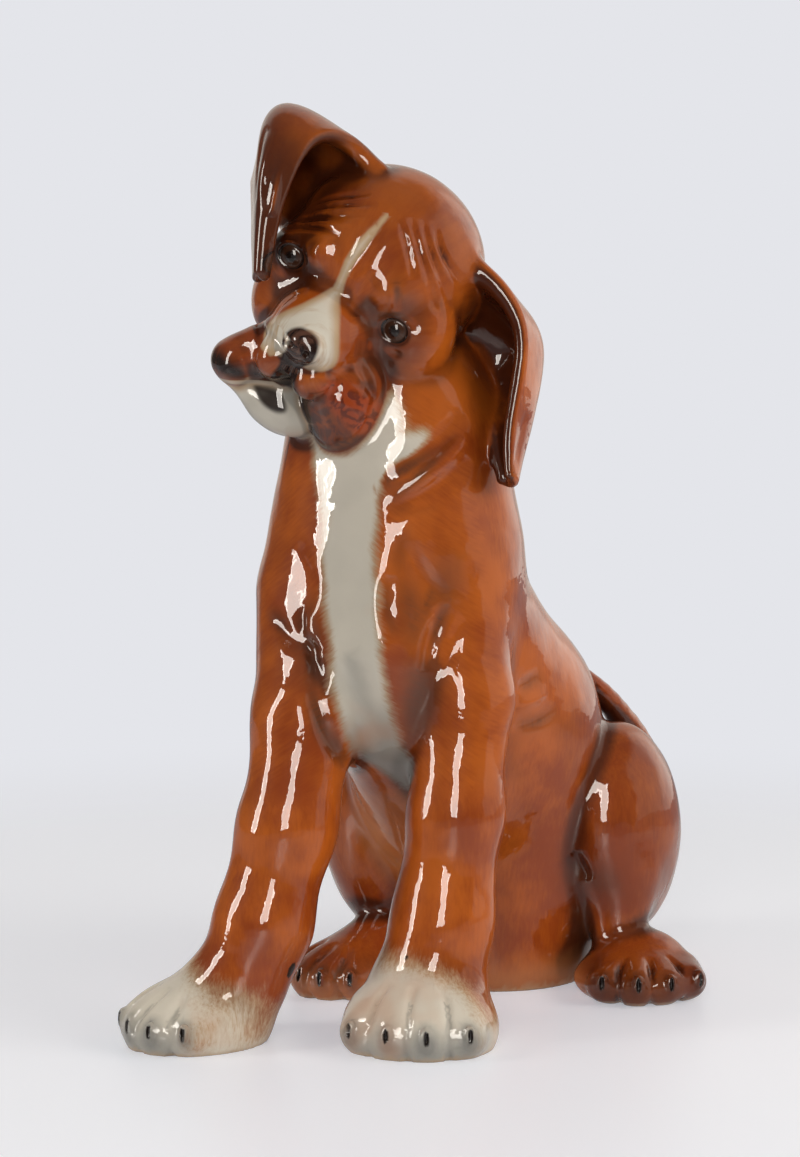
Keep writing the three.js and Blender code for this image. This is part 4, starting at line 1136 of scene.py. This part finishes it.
# Floor, backdrop and lights
studio = {
    "floorTint": linear(218, 220, 224),
    "floorGlow": (0.30, 0.32, 0.36, 1.0),
    "floorSheen": 0.35,  # how much of the far floor the glaze mirrors
    "floorHalf": 3.0,
    "backTint": linear(228, 229, 234),
    "clear": (0.45, 1.0),  # m from the middle, where the floor fades into the backdrop
    "clothTint": (1.0, 0.93, 0.85, 1.0),
    "lampTint": (1.0, 0.94, 0.87),
    "room": 0.08,
    "cloth": 0.55,
    "rightCloth": 0.6,
    "ceiling": 0.06,
    "windowHigh": 1.5,
    "edge": 0.06,  # width of the bright edges of a window
    "paneGlow": 12.0,
    "edgeGlow": 22.0,
    "windows": {  # place, width
        "windowLeft": ((-1.35, -1.05, 0.85), 0.28),
        "windowFront": ((0.66, -2.25, 0.98), 0.5),
    },
    "lamps": {  # place, size, power
        "keyLeft": ((-1.35, -1.05, 0.85), (0.4, 1.5), 10),
        "keyFront": ((0.5, -2.3, 0.98), (0.5, 1.5), 14),
        "fillRight": ((1.7, -0.1, 0.9), (1.4, 1.2), 18),
        "fillAbove": ((0.1, -0.7, 1.9), (1.6, 1.6), 2.5),
    },
}
view = {"from": (0.5317, -1.5421, 0.390), "at": (-0.0155, -0.0386, 0.242), "lens": 91.5, "frameHigh": 36.0}


def makeFloor():
    mesh = bpy.data.meshes.new("floor")
    half = studio["floorHalf"]
    corners = [(-half, -half, 0), (half, -half, 0), (half, half, 0), (-half, half, 0)]
    mesh.from_pydata(corners, [], [(0, 1, 2, 3)])
    floor = bpy.data.objects.new("floor", mesh)
    bpy.context.scene.collection.objects.link(floor)
    material = bpy.data.materials.new("paleFloor")
    n = Nodes(material)
    place = n.add("ShaderNodeTexCoord").outputs["Object"]
    away = n.add("ShaderNodeVectorMath", {0: place}, operation="LENGTH").outputs["Value"]
    glow = n.step(n.isSeen(), 0.0, 1.0, studio["floorSheen"], 1.0)
    matte = n.add("ShaderNodeBsdfPrincipled", {
        "Base Color": studio["floorTint"],
        "Roughness": 0.4,
        "Emission Color": studio["floorGlow"],
        "Emission Strength": glow,
    })
    clear = n.add("ShaderNodeEmission", {"Color": studio["backTint"], "Strength": glow})
    fade = n.step(away, *studio["clear"])
    mix = n.add("ShaderNodeMixShader", {0: fade, 1: matte.outputs[0], 2: clear.outputs[0]})
    n.add("ShaderNodeOutputMaterial", {"Surface": mix.outputs[0]})
    mesh.materials.append(material)


# White cloth behind, a brighter one on the right, and a dark room in front and on the left
def makeWorld():
    world = bpy.data.worlds.new("softStudio")
    bpy.context.scene.world = world
    n = Nodes(world)
    parts = n.add("ShaderNodeSeparateXYZ", {0: n.add("ShaderNodeTexCoord").outputs["Generated"]})
    x, y, z = (parts.outputs[axis] for axis in "XYZ")
    right = n.plus(n.times(x, 0.94), n.times(y, 0.34))  # as the camera sees it
    ahead = n.plus(n.times(x, -0.34), n.times(y, 0.94))
    back = n.times(n.step(ahead, 0.4, 0.65), n.step(right, -0.68, -0.46))
    side = n.times(n.step(right, 0.38, 0.5), n.step(ahead, -0.42, -0.34))
    side = n.times(side, n.step(z, 0.62, 0.8, 1.0, 0.0))
    light = n.plus(studio["room"], n.times(back, studio["cloth"]), n.times(side, studio["rightCloth"]),
                   n.times(n.step(z, 0.45, 0.95), studio["ceiling"]))
    seen = n.add("ShaderNodeBackground", {"Color": studio["backTint"]})
    lit = n.add("ShaderNodeBackground", {"Color": studio["clothTint"], "Strength": light})
    mix = n.add("ShaderNodeMixShader", {0: n.isSeen(), 1: lit.outputs[0], 2: seen.outputs[0]})
    n.add("ShaderNodeOutputWorld", {"Surface": mix.outputs[0]})


# A lamp is either only mirrored by the glaze, as a window is, or only lights the colours
def softbox(name, place, target, size, power, mirrored):
    lamp = bpy.data.lights.new(name, "AREA")
    lamp.shape = "RECTANGLE"
    lamp.size, lamp.size_y = size
    lamp.energy = power
    lamp.color = studio["lampTint"]
    box = bpy.data.objects.new(name, lamp)
    box.location = place
    box.rotation_euler = (Vector(target) - Vector(place)).to_track_quat("-Z", "Y").to_euler()
    box.visible_glossy = mirrored
    box.visible_diffuse = not mirrored
    bpy.context.scene.collection.objects.link(box)


# A soft pane with two brighter edges
def makeWindow(name, place, wide):
    across = Vector((-place[1], place[0], 0)).normalized()
    edge, high = studio["edge"], studio["windowHigh"]
    beside = wide / 2 + edge / 2
    panes = ((0, wide, "paneGlow"), (-beside, edge, "edgeGlow"), (beside, edge, "edgeGlow"))
    for aside, broad, glow in panes:
        offset = aside * across
        power = studio[glow] * math.pi * broad * high
        softbox(name, Vector(place) + offset, (offset.x, offset.y, 0.28), (broad, high), power, True)


def makeCamera():
    camera = bpy.data.objects.new("camera", bpy.data.cameras.new("camera"))
    camera.data.sensor_fit = "VERTICAL"
    camera.data.sensor_height = view["frameHigh"]
    camera.data.lens = view["lens"]
    camera.location = view["from"]
    camera.rotation_euler = (Vector(view["at"]) - camera.location).to_track_quat("-Z", "Y").to_euler()
    bpy.context.scene.collection.objects.link(camera)
    bpy.context.scene.camera = camera


makeFloor()
makeWorld()
for name, (place, wide) in studio["windows"].items():
    makeWindow(name, place, wide)
for name, (place, size, power) in studio["lamps"].items():
    softbox(name, place, (0, 0, 0.25), size, power, False)
makeCamera()
bpy.context.scene.view_settings.view_transform = "Standard"
print("studio set")
